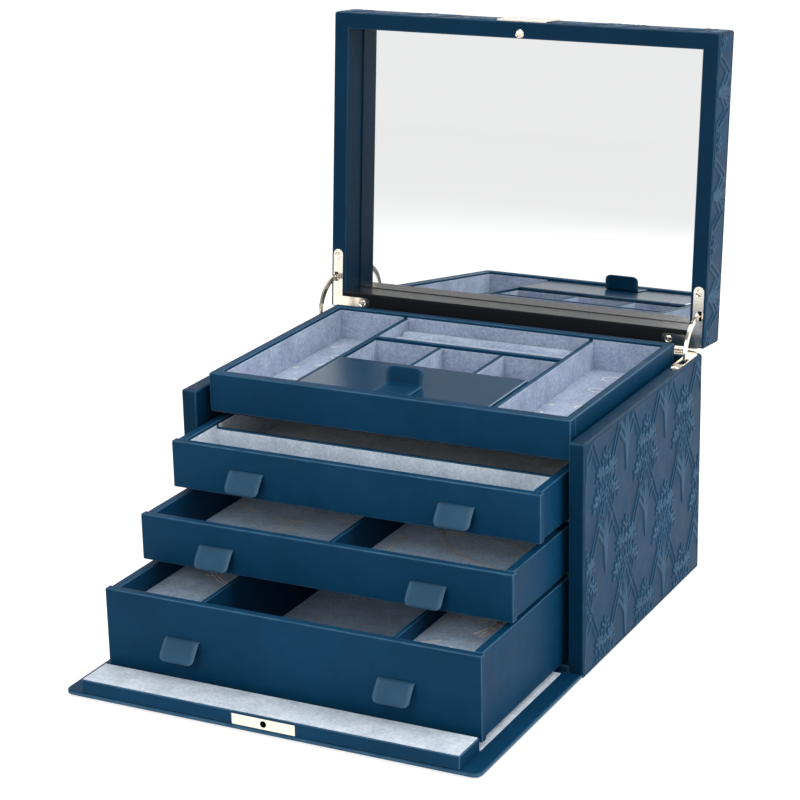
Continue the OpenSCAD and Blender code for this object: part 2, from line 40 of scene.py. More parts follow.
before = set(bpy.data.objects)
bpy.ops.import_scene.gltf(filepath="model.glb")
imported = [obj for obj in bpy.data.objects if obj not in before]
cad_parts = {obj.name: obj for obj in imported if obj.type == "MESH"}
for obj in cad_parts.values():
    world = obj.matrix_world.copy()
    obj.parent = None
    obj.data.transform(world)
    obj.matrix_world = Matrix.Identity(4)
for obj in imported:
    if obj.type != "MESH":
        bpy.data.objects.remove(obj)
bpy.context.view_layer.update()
# Sizes in metres. The lid's are those of the closed lid, which is then turned open.
LID_ANGLE = math.radians(-95)
LID_PIN = (0.1069, 0.1575)
LID_REAR = 0.105
LID_FRONT = -0.1096
LID_HALF_WIDTH = 0.145
LID_UNDERSIDE = 0.158
RIM_WIDTH = 0.0115
RIM_TOP = 0.1874
MIRROR_FACE = 0.1805
MIRROR_BACK = 0.1835
STAY_SLOT_X = (0.1377, 0.1423)
THIN_EDGE = 0.0005
LINING_DROP = 0.0007
PRINT_LIFT = 0.0013
DRAWER_WALL = 0.006
DRAWER_BACK = 0.005
CAMERA_AT = (0.6856, -1.41505, 0.6447)
CAMERA_RIGHT = (0.88812, 0.45895, -0.02479)
CAMERA_FORWARD = (-0.44119, 0.83616, -0.32587)


# ---------------------------------------------------------------- settings


def length(name, description, default, low=0.0, high=0.05):
    return bpy.props.FloatProperty(
        name=name,
        description=description,
        default=default,
        min=low,
        max=high,
        unit="LENGTH",
        precision=5,
    )


def colour(name, description, default):
    return bpy.props.FloatVectorProperty(
        name=name,
        description=description,
        default=default,
        size=3,
        subtype="COLOR",
        min=0.0,
        max=1.0,
    )


class LeatherSettings(bpy.types.PropertyGroup):
    navy: colour("Navy", "Leather on the faces", (0.0018, 0.029, 0.068))
    # The worn-edge colour is also painted as a highlight on the tops of the embossed lines.
    worn: colour("Worn edge", "Leather where it turns over an edge", (0.050, 0.120, 0.190))
    # Painted light: the tabs' colour is the navy lightened, as if lit from above and in front.
    pull: colour("Pull tabs", "Matt leather of the drawers' tabs", (0.022, 0.060, 0.105))
    # Painted shade: this near-black goes on the lid's rear rail below its skin and on the thin sheet
    # in front of it, where the rail lies in shade.
    dark: colour("Dark leather", "Leather of the rail behind the tray", (0.008, 0.009, 0.012))
    edge: length("Edge radius", "Rounding of a covered board", 0.0011, 0.0003, 0.003)
    thick_edge: length("Casing edge radius", "Rounding of the walls", 0.0016, 0.0003, 0.004)
    grain: length("Grain", "Size of a pebble of the grain", 0.0009, 0.0003, 0.003)


class ReliefSettings(bpy.types.PropertyGroup):
    depth: length("Depth", "Height of the embossed lines", 0.00085, 0.0, 0.002)
    width: length("Repeat width", "Width of one lozenge", 0.070, 0.03, 0.12)
    height: length("Repeat height", "Height of one lozenge", 0.115, 0.05, 0.2)
    step: length("Step", "Distance between the points of the relief", 0.0009, 0.0005, 0.003)


class SuedeSettings(bpy.types.PropertyGroup):
    light: colour("Light nap", "Suede brushed one way", (0.33, 0.395, 0.51))
    dark: colour("Dark nap", "Suede brushed the other way", (0.19, 0.24, 0.33))
    # Painted light: the pale and deep pairs are lighter copies of the tray's suede, for the drawers,
    # the fall front's lining and the lock rail; the deep pair, for the two lower drawers, is also
    # bluer.
    pale: colour("Drawer suede", "Paler suede of the drawers, one way", (0.53, 0.585, 0.66))
    lit_copy_dark: colour("Drawer suede, dark", "The same, the other way", (0.33, 0.385, 0.44))
    deep_lit_copy: colour("Deep drawer suede", "Bluer suede of the two lower drawers", (0.44, 0.58, 0.76))
    deep_lit_copy_dark: colour("Deep drawer suede, dark", "The same, the other way", (0.26, 0.35, 0.47))
    thick: length("Thickness", "Suede on its card", 0.0006, 0.0003, 0.002)
    rim: length("Rim", "Leather left above the suede", 0.0022, 0.0005, 0.006)


class MetalSettings(bpy.types.PropertyGroup):
    gold: colour("Pale gold", "Hinges, plates and stud", (0.90, 0.83, 0.71))


# ---------------------------------------------------------------- materials

# Edge colour of the near-black painted-shade sheet.
SHADE_SHEET_EDGE = (0.07, 0.066, 0.062)
# Edge colour of the tabs, lightened as painted light like their face.
TAB_LIT_WEAR = (0.08, 0.15, 0.22)
LOCK_METAL = (0.012, 0.012, 0.014)
# The pads take the lower drawers' lighter copy of the suede, darkened by this factor.
PAD_SHADE = 0.62


class Value:
    """One socket of a material. Arithmetic on it adds Math nodes."""

    def __init__(self, finish, socket):
        self.finish = finish
        self.socket = socket

    def math(self, operation, other):
        return self.finish.node("ShaderNodeMath", {"operation": operation}, {0: self, 1: other})

    def __add__(self, other):
        return self.math("ADD", other)

    def __radd__(self, other):
        return self.math("ADD", other)

    def __sub__(self, other):
        return self.math("SUBTRACT", other)

    def __rsub__(self, other):
        return self.finish.node("ShaderNodeMath", {"operation": "SUBTRACT"}, {0: other, 1: self})

    def __mul__(self, other):
        return self.math("MULTIPLY", other)

    def __rmul__(self, other):
        return self.math("MULTIPLY", other)


class Finish:
    """A material built from nodes, with one way to add a node."""

    def __init__(self, name, **constants):
        self.material = bpy.data.materials.new(name)
        self.material.use_nodes = True
        self.tree = self.material.node_tree
        self.shader = self.tree.nodes["Principled BSDF"]
        for key, value in constants.items():
            self.shader.inputs[key.replace("_", " ")].default_value = value

    def node(self, kind, settings=None, inputs=None, out=0):
        made = self.tree.nodes.new(kind)
        for key, value in (settings or {}).items():
            setattr(made, key, value)
        for key, value in (inputs or {}).items():
            if isinstance(value, Value):
                self.tree.links.new(value.socket, made.inputs[key])
            else:
                made.inputs[key].default_value = value
        return Value(self, made.outputs[out])

    def place(self, scale=(1, 1, 1)):
        where = self.node("ShaderNodeTexCoord", out="Object")
        return self.node("ShaderNodeMapping", None, {"Vector": where, "Scale": scale}, "Vector")

    def noise(self, where, scale, detail=2.0, rough=0.5):
        inputs = {"Vector": where, "Scale": scale, "Detail": detail, "Roughness": rough}
        return self.node("ShaderNodeTexNoise", None, inputs, "Fac")

    def between(self, value, low, high, to_low=0.0, to_high=1.0):
        inputs = {0: value, 1: low, 2: high, 3: to_low, 4: to_high}
        return self.node("ShaderNodeMapRange", {"clamp": True}, inputs)

    def blend(self, factor, a, b, mode="MIX"):
        settings = {"data_type": "RGBA", "blend_type": mode}
        a = a if isinstance(a, Value) else (*a, 1.0)
        b = b if isinstance(b, Value) else (*b, 1.0)
        return self.node("ShaderNodeMix", settings, {0: factor, 6: a, 7: b}, 2)

    def attribute(self, name):
        return self.node("ShaderNodeAttribute", {"attribute_name": name}, None, "Fac")

    def bump(self, height, distance, strength):
        inputs = {"Height": height, "Distance": distance, "Strength": strength}
        return self.node("ShaderNodeBump", None, inputs, "Normal")

    def drive(self, name, value):
        self.tree.links.new(value.socket, self.shader.inputs[name])


def shades(rgb, factor):
    return tuple(min(1.0, c * factor) for c in rgb)


def leather_finish(name, base, edge, gloss=0.36, shine=0.14, even=1.0, embossed=False,
                   grain=0.0009, shade_below_skin=None):
    """Fine pebbled leather: cells for the grain, soft noise for the skin's unevenness,
    lighter and glossier where the board's edge attribute says that it turns a corner.
    When embossed, painted shade darkens the flanks of the relief's lines, and a painted
    highlight in the edge colour lightens their tops.
    A colour given for the lid's rear rail is painted as shade on all of the rail but its
    outer skin: the depth under the skin is the point's product with the direction in which
    the opened rail faces."""
    f = Finish(name, Specular_IOR_Level=shine, Coat_Weight=shine * 0.2, Coat_Roughness=0.3)
    where = f.place()
    pebble = f.node(
        "ShaderNodeTexVoronoi",
        {"feature": "DISTANCE_TO_EDGE"},
        {"Vector": where, "Scale": 1.0 / grain, "Randomness": 1.0},
        "Distance",
    )
    pebble = f.between(pebble, 0.0, 0.25)
    skin = f.noise(where, 90.0, 3.0)
    cloudy = f.noise(where, 14.0, 2.0)
    worn = f.attribute("edge")
    tone = f.between(cloudy + skin * 0.5, 0.45, 1.05)
    skin_colour = f.blend(tone, shades(base, 0.84), shades(base, 1.2))
    touched = worn * f.between(skin, 0.25, 0.75, 0.35, 0.9)
    skin_colour = f.blend(touched, skin_colour, tuple(edge))
    if embossed:
        relief = f.attribute("relief")
        # Painted shade: relief values along the lines' flanks pull the colour toward a third of the
        # navy.
        crease_shade = f.between(relief, 0.12, 0.35, 0.0, 0.75)
        crease_shade = crease_shade * f.between(relief, 0.35, 0.5, 1.0, 0.0)
        skin_colour = f.blend(crease_shade, skin_colour, shades(base, 0.3))
        # Painted highlight: the tops of the raised lines take the edge colour.
        raised = f.between(relief, 0.55, 0.95, 0.0, 0.42)
        skin_colour = f.blend(raised, skin_colour, tuple(edge))
    # Painted shade: all of the rear rail but its outer skin takes the near-black colour.
    if shade_below_skin:
        outward = (0.0, math.cos(LID_ANGLE), math.sin(LID_ANGLE))
        skin_at = outward[1] * LID_PIN[0] + outward[2] * LID_PIN[1] + LID_REAR - LID_PIN[0]
        settings = {"operation": "DOT_PRODUCT"}
        facing = f.node("ShaderNodeVectorMath", settings, {0: where, 1: outward}, "Value")
        inner = f.between(facing, skin_at - 0.0017, skin_at - 0.0012, 1.0, 0.0)
        skin_colour = f.blend(inner, skin_colour, shade_below_skin)
    f.drive("Base Color", skin_colour)
    rough = f.between(skin, 0.3, 0.7, gloss - 0.05 * even, gloss + 0.09 * even)
    f.drive("Roughness", rough - worn * 0.04)
    height = pebble * 0.55 + skin * 0.6
    f.drive("Normal", f.bump(height, 0.00016, 0.55 * even))
    return f.material


def suede_finish(name, light, dark):
    """Napped suede: broad brushed patches, small tufts and a very fine pile."""
    f = Finish(name, Specular_IOR_Level=0.18, Sheen_Weight=0.15, Sheen_Roughness=0.45)
    where = f.place()
    patches = f.noise(where, 60.0, 4.0, 0.62)
    tufts = f.noise(where, 480.0, 3.0, 0.6)
    pile = f.noise(where, 3200.0, 2.0, 0.7)
    tone = f.between(patches * 0.45 + tufts * 0.42 + pile * 0.2, 0.42, 0.66)
    nap = f.blend(tone, tuple(dark), tuple(light))
    f.drive("Base Color", nap)
    f.drive("Roughness", f.between(tufts, 0.3, 0.7, 0.84, 0.97))
    f.drive("Normal", f.bump(tufts * 0.5 + pile * 0.7, 0.00022, 0.6))
    return f.material


def metal_finish(name, tint, rough=0.16):
    """Polished plated metal: a faint haze and fine polishing lines in its gloss."""
    f = Finish(name, Metallic=1.0)
    lines = f.noise(f.place((1.0, 1.0, 14.0)), 900.0, 2.0)
    haze = f.noise(f.place(), 160.0, 3.0)
    f.drive("Base Color", f.blend(f.between(haze, 0.35, 0.7), shades(tint, 0.92), tint))
    f.drive("Roughness", f.between(lines * 0.5 + haze * 0.5, 0.3, 0.7, rough - 0.05, rough + 0.07))
    f.drive("Normal", f.bump(lines, 0.00002, 0.3))
    return f.material


def mirror_finish(name):
    """Silvered glass: near-perfect gloss with the faintest haze."""
    f = Finish(name, Metallic=1.0)
    haze = f.noise(f.place(), 6.0, 2.0)
    f.drive("Base Color", f.blend(haze, (0.815, 0.82, 0.82), (0.83, 0.835, 0.835)))
    f.drive("Roughness", f.between(haze, 0.3, 0.7, 0.0, 0.008))
    return f.material


def board_finish(name):
    """Dark paper-covered board."""
    f = Finish(name, Roughness=0.75)
    fibre = f.noise(f.place((1.0, 6.0, 1.0)), 500.0, 3.0)
    f.drive("Base Color", f.blend(fibre, (0.008, 0.014, 0.022), (0.02, 0.03, 0.042)))
    f.drive("Normal", f.bump(fibre, 0.00008, 0.5))
    return f.material


def print_finish(name):
    """Pale metallic ink on suede, broken up by the pile under it."""
    f = Finish(name, Metallic=0.35)
    pile = f.noise(f.place(), 1500.0, 2.0)
    bare, inked = (0.52, 0.52, 0.50), (0.80, 0.78, 0.70)
    f.drive("Base Color", f.blend(f.between(pile, 0.35, 0.65), bare, inked))
    f.drive("Roughness", f.between(pile, 0.3, 0.7, 0.35, 0.6))
    return f.material


# ---------------------------------------------------------------- surfaces


class Surface:
    """Points, faces and named point values, gathered before they become one mesh."""

    def __init__(self):
        self.points = []
        self.quads = []
        self.values = {}
        self.count = 0

    def grid(self, p, values=None, flip=False, keep=None):
        """Adds a grid of points p[i, j] with a quad between each four neighbours.
        keep says which of the quads are wanted."""
        rows, cols = p.shape[:2]
        index = np.arange(rows * cols).reshape(rows, cols) + self.count
        a, b = index[:-1, :-1], index[1:, :-1]
        c, d = index[1:, 1:], index[:-1, 1:]
        quad = np.stack((a, d, c, b) if flip else (a, b, c, d), -1).reshape(-1, 4)
        if keep is not None:
            quad = quad[keep.reshape(-1)]
        self.points.append(p.reshape(-1, 3))
        self.quads.append(quad)
        given = values or {}
        for key in set(given) | set(self.values):
            known = self.values.setdefault(key, np.zeros(self.count))
            new = np.broadcast_to(given.get(key, 0.0), (rows, cols)).reshape(-1)
            self.values[key] = np.concatenate((known, new))
        self.count += rows * cols
        return self

    def mesh(self, name, smooth=True, weld=1e-6):
        """Welds points that coincide, drops faces that collapse, and makes the mesh."""
        points = np.concatenate(self.points)
        quads = np.concatenate(self.quads)
        key = np.round(points / weld).astype(np.int64)
        _, first, where = np.unique(key, axis=0, return_index=True, return_inverse=True)
        points = points[first]
        quads = where.reshape(-1)[quads]
        same = np.stack([quads[:, k] == quads[:, (k + 1) % 4] for k in range(4)], 1)
        quads = quads[same.sum(1) < 2]
        same = same[same.sum(1) < 2]
        rolled = np.array([np.roll(np.arange(4), -k) for k in range(4)])
        starts = np.where(same.any(1), (same.argmax(1) + 1) % 4, 0)
        ordered = np.take_along_axis(quads, rolled[starts], 1)
        sizes = np.where(same.any(1), 3, 4)
        keep = np.arange(4)[None, :] < sizes[:, None]
        loops = ordered[keep]
        data = bpy.data.meshes.new(name)
        data.vertices.add(len(points))
        data.vertices.foreach_set("co", points.astype(np.float32).ravel())
        data.loops.add(len(loops))
        data.loops.foreach_set("vertex_index", loops.astype(np.int32))
        data.polygons.add(len(sizes))
        begin = np.concatenate(([0], np.cumsum(sizes)[:-1])).astype(np.int32)
        data.polygons.foreach_set("loop_start", begin)
        data.polygons.foreach_set("use_smooth", np.full(len(sizes), smooth))
        data.update(calc_edges=True)
        for key, value in self.values.items():
            layer = data.attributes.new(key, "FLOAT", "POINT")
            layer.data.foreach_set("value", value[first].astype(np.float32))
        data.validate()
        return data


def edge_stations(low, high, radius, step, arcs=3, guard=0.00025):
    """Places along one side of a board: close together where the edge rounds, then every step."""
    bend = radius - radius * np.tan(np.radians(np.linspace(45, 0, arcs + 1)))
    flat_low, flat_high = low + radius + guard, high - radius - guard
    count = max(1, int(round((flat_high - flat_low) / step))) if step else 1
    flat = np.linspace(flat_low, flat_high, count + 1)
    return np.concatenate((low + bend, flat, (high - bend)[::-1]))


def sparse(stations, skip=5, stride=24):
    """The same number of places, but those between the two rounded ends are drawn together
    onto every twenty-fourth one. The faces between them close up and are dropped."""
    count = len(stations)
    index = np.arange(count)
    inner = (index >= skip) & (index <= count - 1 - skip)
    nearest = skip + np.round((index - skip) / stride).astype(int) * stride
    return stations[np.where(inner, np.minimum(nearest, count - 1 - skip), index)], inner


def board(surface, low, high, radius, relief=None, step=None, warp=None, cut=None):
    """A block with rounded edges. Each face is a grid; a point q of the sharp block goes to
    c + radius * (q - c) / |q - c|, where c is q held inside the block shrunk by the radius.
    relief maps a face (axis, side) to a height function, which is added along the normal
    and fades out where the face begins to turn. cut maps a face to a slot in it,
    (low u, high u, low v, high v, floor). A plain face behind a relief has few points."""
    low, high = np.minimum(low, high).astype(float), np.maximum(low, high).astype(float)
    radius = min(radius, 0.49 * float((high - low).min()))
    relief, cut = relief or {}, cut or {}
    stations = []
    for k in range(3):
        spacing = [h.step for face, h in relief.items() if face[0] != k]
        spacing = min(spacing) if spacing else (step[k] if step else None)
        stations.append(edge_stations(low[k], high[k], radius, spacing))
    for face, slot in cut.items():
        u, v = [k for k in range(3) if k != face[0]]
        stations[u] = np.unique(np.concatenate((stations[u], slot[0:2])))
        stations[v] = np.unique(np.concatenate((stations[v], slot[2:4])))
    for axis in range(3):
        u, v = [k for k in range(3) if k != axis]
        for side in (0, 1):
            height, slot = relief.get((axis, side)), cut.get((axis, side))
            grid_u, grid_v = np.meshgrid(stations[u], stations[v], indexing="ij")
            q = np.empty(grid_u.shape + (3,))
            q[..., u], q[..., v] = grid_u, grid_v
            q[..., axis] = high[axis] if side else low[axis]
            c = np.clip(q, low + radius, high - radius)
            d = q - c
            d[..., axis] = radius if side else -radius
            size = np.linalg.norm(d, axis=-1, keepdims=True)
            p = c + radius * d / size
            turn = 1.0 - radius / size[..., 0]
            values = {"edge": np.clip(turn * 5.0, 0.0, 1.0), "relief": 0.4}
            if height:
                room = np.minimum(
                    np.minimum(grid_u - low[u], high[u] - grid_u),
                    np.minimum(grid_v - low[v], high[v] - grid_v),
                )
                fade = np.clip((room - radius) / height.margin, 0.0, 1.0)
                fade = fade * fade * (3 - 2 * fade)
                raised = height(grid_u, grid_v)
                p[..., axis] += (1 if side else -1) * height.depth * (raised - 0.35) * fade
                values["relief"] = 0.4 + (raised - 0.4) * fade
            if relief.get((axis, 1 - side)) and not height and not slot:
                (thin_u, inner_u), (thin_v, inner_v) = sparse(stations[u]), sparse(stations[v])
                inner = inner_u[:, None] & inner_v[None, :]
                p[..., u] = np.where(inner, thin_u[:, None], p[..., u])
                p[..., v] = np.where(inner, thin_v[None, :], p[..., v])
            flip = (side == 0) != (axis == 1)
            keep = None
            if slot:
                middle_u = 0.5 * (stations[u][1:] + stations[u][:-1])[:, None]
                middle_v = 0.5 * (stations[v][1:] + stations[v][:-1])[None, :]
                inside_u = (middle_u > slot[0]) & (middle_u < slot[1])
                keep = ~(inside_u & (middle_v > slot[2]) & (middle_v < slot[3]))
                pocket(surface, q, axis, (u, v), stations, slot, flip)
            surface.grid(warp(p) if warp else p, values, flip, keep)
    return surface


def pocket(surface, q, axis, across, stations, slot, flip):
    """The four walls and the floor of a slot in a board's face."""
    u, v = across
    along_u = stations[u][(stations[u] >= slot[0]) & (stations[u] <= slot[1])]
    along_v = stations[v][(stations[v] >= slot[2]) & (stations[v] <= slot[3])]
    mouth = q.flat[axis]
    grid_u, grid_v = np.meshgrid(along_u, along_v, indexing="ij")
    floor = np.empty(grid_u.shape + (3,))
    floor[..., u], floor[..., v], floor[..., axis] = grid_u, grid_v, slot[4]
    surface.grid(floor, {"relief": 0.4}, flip)
    for line, turned_over in (
        (floor[0], True),
        (floor[-1], False),
        (floor[:, 0], False),
        (floor[:, -1], True),
    ):
        wall = np.stack((line, line.copy()))
        wall[1, :, axis] = mouth
        surface.grid(wall, {"relief": 0.4}, flip != turned_over)


def mitre(across, inner, outer, along, ends, ramp=0.016):
    """A warp that draws a rail's ends in by as much as a point lies in from its outer side.
    The ends' last stretch shortens evenly, and the rest of the rail stays where it is."""
    middle, half = (ends[0] + ends[1]) / 2, (ends[1] - ends[0]) / 2

    def warp(p):
        p = p.copy()
        place = p[..., along] - middle
        depth = (p[..., across] - outer) / (inner - outer)
        share = np.clip((abs(place) - (half - ramp)) / ramp, 0.0, 1.0)
        p[..., along] -= np.sign(place) * abs(inner - outer) * depth * share
        return p

    return warp


def lid_turn(p):
    """Carries points of the closed lid to the open lid, by a turn about the hinge pins."""
    y, z = p[..., 1] - LID_PIN[0], p[..., 2] - LID_PIN[1]
    c, s = math.cos(LID_ANGLE), math.sin(LID_ANGLE)
    return np.stack((p[..., 0], LID_PIN[0] + y * c - z * s, LID_PIN[1] + y * s + z * c), -1)


def turned(surface):
    """The same surface, carried to the open lid."""
    surface.points = [lid_turn(p) for p in surface.points]
    return surface


def strap(surface, path, half_width, thick, corner, middle=(0.0, 0.0, 0.0), around=16):
    """A flat strap that follows path in Y and Z. At a distance s from the start its half
    width is w, and near the end w - r + sqrt(r^2 - (s - L + r)^2), so its corners are round.
    Its section is a superellipse of that half width and of half the thickness."""
    path = np.asarray(path, float)
    steps = np.linalg.norm(np.diff(path, axis=0), axis=1)
    s = np.concatenate(([0.0], np.cumsum(steps)))
    total = s[-1]
    tangent = np.gradient(path, s, axis=0)
    tangent /= np.linalg.norm(tangent, axis=1, keepdims=True)
    normal = np.stack((-tangent[:, 1], tangent[:, 0]), 1)
    into = np.clip(s - (total - corner), 0.0, corner)
    width = half_width - corner + np.sqrt(np.maximum(corner**2 - into**2, 0.0))
    thin = np.sqrt(np.clip((total - s) / (thick * 0.5), 0.02, 1.0))
    angle = np.linspace(0, 2 * np.pi, around + 1)
    power = 0.32
    round_x = np.sign(np.cos(angle)) * abs(np.cos(angle)) ** power
    round_t = np.sign(np.sin(angle)) * abs(np.sin(angle)) ** 0.7
    x = width[:, None] * round_x[None, :]
    t = 0.5 * thick * thin[:, None] * round_t[None, :]
    p = np.stack(
        (
            middle[0] + x,
            middle[1] + path[:, :1] + t * normal[:, :1],
            middle[2] + path[:, 1:] + t * normal[:, 1:],
        ),
        -1,
    )
    edge = np.broadcast_to(np.clip(abs(round_x) * 3 - 2.2, 0, 1) * 0.8, p.shape[:2])
    surface.grid(p, {"edge": edge, "relief": 0.4}, flip=False)
    for end in (0, -1):
        centre = np.broadcast_to(p[end].mean(0), p[end].shape)
        cap = np.stack((centre, p[end]))
        surface.grid(cap, {"edge": 0.5, "relief": 0.4}, flip=(end == -1))
    return surface


def screw_head(surface, at, down, heading, radius=0.0022, rise=0.00027):
    """A raised countersunk head. At the distance r from its middle its top lies at
    rise * (1 - (r / radius)^2) above the leaf, less a slot whose depth falls from its full
    value to nothing over a narrow band at its sides."""
    r = radius * np.concatenate((np.linspace(0, 1, 26), [0.98, 0.5, 0.0]))
    angle = np.linspace(0, 2 * np.pi, 73)
    x, y = r[:, None] * np.cos(angle), r[:, None] * np.sin(angle)
    across = x * math.sin(heading) - y * math.cos(heading)
    slot = np.clip((0.00042 - abs(across)) / 0.0001, 0.0, 1.0)
    z = rise * (1 - (r / radius) ** 2)[:, None] - 0.00017 - 0.00025 * slot
    z[26:] = np.array((-0.0005, -0.0007, -0.0007))[:, None]
    p = np.stack((at[0] + x, at[1] + y, at[2] + (-z if down else z)), -1)
    return surface.grid(p, {"relief": 0.4}, flip=down)


def show(surface, name, material, body, slot, *nodes, smooth=True):
    """Makes the piece, gives it its material and body, and hides the nodes it stands for."""
    made = bpy.data.objects.new(name, surface.mesh(name, smooth))
    bpy.context.scene.collection.objects.link(made)
    made.data.materials.append(material)
    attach(made, body)
    if nodes:
        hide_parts(*nodes)
    return made


def corners(node):
    low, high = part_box(node)
    return np.array(low), np.array(high)


def paint(material, *nodes):
    """Gives CAD nodes that keep their shape a finish."""
    for node in nodes:
        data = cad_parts[node].data
        data.materials.clear()
        data.materials.append(material)


# ---------------------------------------------------------------- embossing


class Fans:
    """The embossed pattern: straight lines cross in tall lozenges, and from the foot of each
    lozenge a fan of stalks rises to round buds. The height at a point is the largest of
    exp(-(distance / width)^2) over the lines and of a dome over each bud. A point is first
    brought into one lozenge, by taking its place modulo the repeat."""

    stalks = 9
    spread = 0.44
    ridge = 0.00085
    fine = 0.00065
    florets = (
        (-1.35, 0.0056, 0.00135), (-0.68, 0.0064, 0.0015), (0.0, 0.0070, 0.0016),
        (0.68, 0.0064, 0.0015), (1.35, 0.0056, 0.00135), (-0.5, 0.0031, 0.0012),
        (0.5, 0.0031, 0.0012),
    )

    def __init__(self, settings, up=0.0):
        self.depth = settings.depth
        self.step = settings.step
        self.margin = 0.0015
        self.w = settings.width
        self.h = settings.height
        self.up = up

    def line(self, s, t, a, b, width):
        a, b = np.asarray(a), np.asarray(b)
        ab = b - a
        k = np.clip(((s - a[0]) * ab[0] + (t - a[1]) * ab[1]) / (ab @ ab), 0, 1)
        gap = np.hypot(s - a[0] - k * ab[0], t - a[1] - k * ab[1])
        return np.exp(-((gap / width) ** 2))

    def bud(self, s, t, centre, size, lean):
        along = (s - centre[0]) * math.sin(lean) + (t - centre[1]) * math.cos(lean)
        aside = (s - centre[0]) * math.cos(lean) - (t - centre[1]) * math.sin(lean)
        r2 = (along / (1.45 * size)) ** 2 + (aside / size) ** 2
        ring = np.sqrt(np.clip(r2, 0, None))
        return np.clip(1.25 - r2, 0, 1) ** 0.5 * (1.0 - 0.35 * np.exp(-((ring / 0.45) ** 2)))

    def lozenge(self, s, t):
        w, h = self.w, self.h
        height = np.zeros(s.shape)
        foot = np.array((0.0, -0.47 * h))
        for k in range(self.stalks):
            f = (k - (self.stalks - 1) / 2) / ((self.stalks - 1) / 2)
            lean = f * self.spread
            reach = h * (0.62 - 0.20 * abs(f) ** 1.5) * (1.0 + 0.05 * (-1) ** k)
            knee = foot + np.array((math.sin(lean * 0.35), math.cos(lean * 0.35))) * reach * 0.5
            tip = knee + np.array((math.sin(lean), math.cos(lean))) * reach * 0.5
            height = np.maximum(height, 0.75 * self.line(s, t, foot, knee, self.ridge))
            height = np.maximum(height, 0.75 * self.line(s, t, knee, tip, self.ridge))
            for turn, out, size in self.florets:
                direction = lean + turn
                centre = tip + np.array((math.sin(direction), math.cos(direction))) * out
                height = np.maximum(height, self.bud(s, t, centre, size, direction))
                height = np.maximum(height, 0.5 * self.line(s, t, tip, centre, self.fine))
        for side in (-1, 1):
            for level in (0.30, 0.42):
                base = foot + np.array((side * 0.012 * w, level * h * 0.5))
                point = base + np.array((side * 0.15 * w, 0.10 * h))
                leaf = self.line(s, t, base, point, 0.0015) * 0.8
                height = np.maximum(height, leaf)
        return height

    def __call__(self, u, v):
        s, t = u, v + self.up
        w, h = self.w, self.h
        height = np.zeros(s.shape)
        for ds, dt in ((0.0, 0.0), (0.5, 0.5)):
            ls = (s / w + ds + 0.5) % 1.0 - 0.5
            lt = (t / h + dt + 0.5) % 1.0 - 0.5
            height = np.maximum(height, self.lozenge(ls * w, lt * h))
        slant = math.atan2(w, h)
        for sign in (-1, 1):
            phase = (s / w + sign * t / h + 0.5) % 1.0 - 0.5
            gap = abs(phase) * w * math.cos(slant)
            pair = np.exp(-(((gap - 0.0022) / self.ridge) ** 2))
            height = np.maximum(height, 0.85 * pair)
        swell = 0.10 * np.sin(2 * np.pi * s / w) * np.sin(2 * np.pi * t / h)
        return np.clip(height + swell + 0.1, 0.0, 1.1)


class Softness:
    """The slight unevenness of padded suede: a sum of three long waves."""

    step = 0.004
    margin = 0.006

    def __init__(self, depth, seed):
        self.depth = depth
        self.seed = seed

    def __call__(self, u, v):
        k = self.seed
        waves = np.sin(u * 150 + v * 60 + k) + np.sin(v * 190 - u * 45 + 2.1 * k)
        return 0.6 + 0.22 * waves + 0.2 * np.sin((u + v) * 95 + 0.7 * k)


# ---------------------------------------------------------------- pieces


def finish(kind):
    """The material of that kind, made when it is first asked for."""
    name = f"box_{kind}"
    found = bpy.data.materials.get(name)
    if found:
        return found
    scene = bpy.context.scene
    leather, suede, metal = scene.jb_leather, scene.jb_suede, scene.jb_metal
    navy, worn, grain = leather.navy, leather.worn, leather.grain
    makers = {
        "leather": lambda: leather_finish(name, navy, worn, 0.40, 0.05, grain=grain),
        "leather_smooth": lambda: leather_finish(name, navy, worn, 0.24, 0.45, 0.25),
        # Near-black leather for the painted-shade sheet on the rear rail.
        "leather_dark": lambda: leather_finish(name, leather.dark, SHADE_SHEET_EDGE, 0.2, 0.5, 0.3),
        # The tabs: matt leather, lightened as painted light.
        "leather_tab_lit": lambda: leather_finish(name, leather.pull, TAB_LIT_WEAR, 0.5, 0.05),
        "leather_embossed": lambda: leather_finish(name, navy, worn, 0.36, 0.04, 0.8, True),
        # The rear rail: embossed navy, with painted shade below its skin.
        "leather_rear_painted_shade": lambda: leather_finish(
            name, navy, worn, 0.36, 0.04, 0.8, True, shade_below_skin=tuple(leather.dark)
        ),
        "suede": lambda: suede_finish(name, suede.light, suede.dark),
        # Lighter copies of the suede: painted light.
        "suede_lit_copy": lambda: suede_finish(name, suede.pale, suede.lit_copy_dark),
        "suede_deep_lit_copy": lambda: suede_finish(name, suede.deep_lit_copy, suede.deep_lit_copy_dark),
        "suede_pads": lambda: suede_finish(
            name, shades(suede.deep_lit_copy, PAD_SHADE), shades(suede.deep_lit_copy_dark, PAD_SHADE)
        ),
        "gold": lambda: metal_finish(name, tuple(metal.gold)),
        "dark_metal": lambda: metal_finish(name, LOCK_METAL, 0.5),
        "mirror": lambda: mirror_finish(name),
        "board": lambda: board_finish(name),
        "print": lambda: print_finish(name),
    }
    return makers[kind]()


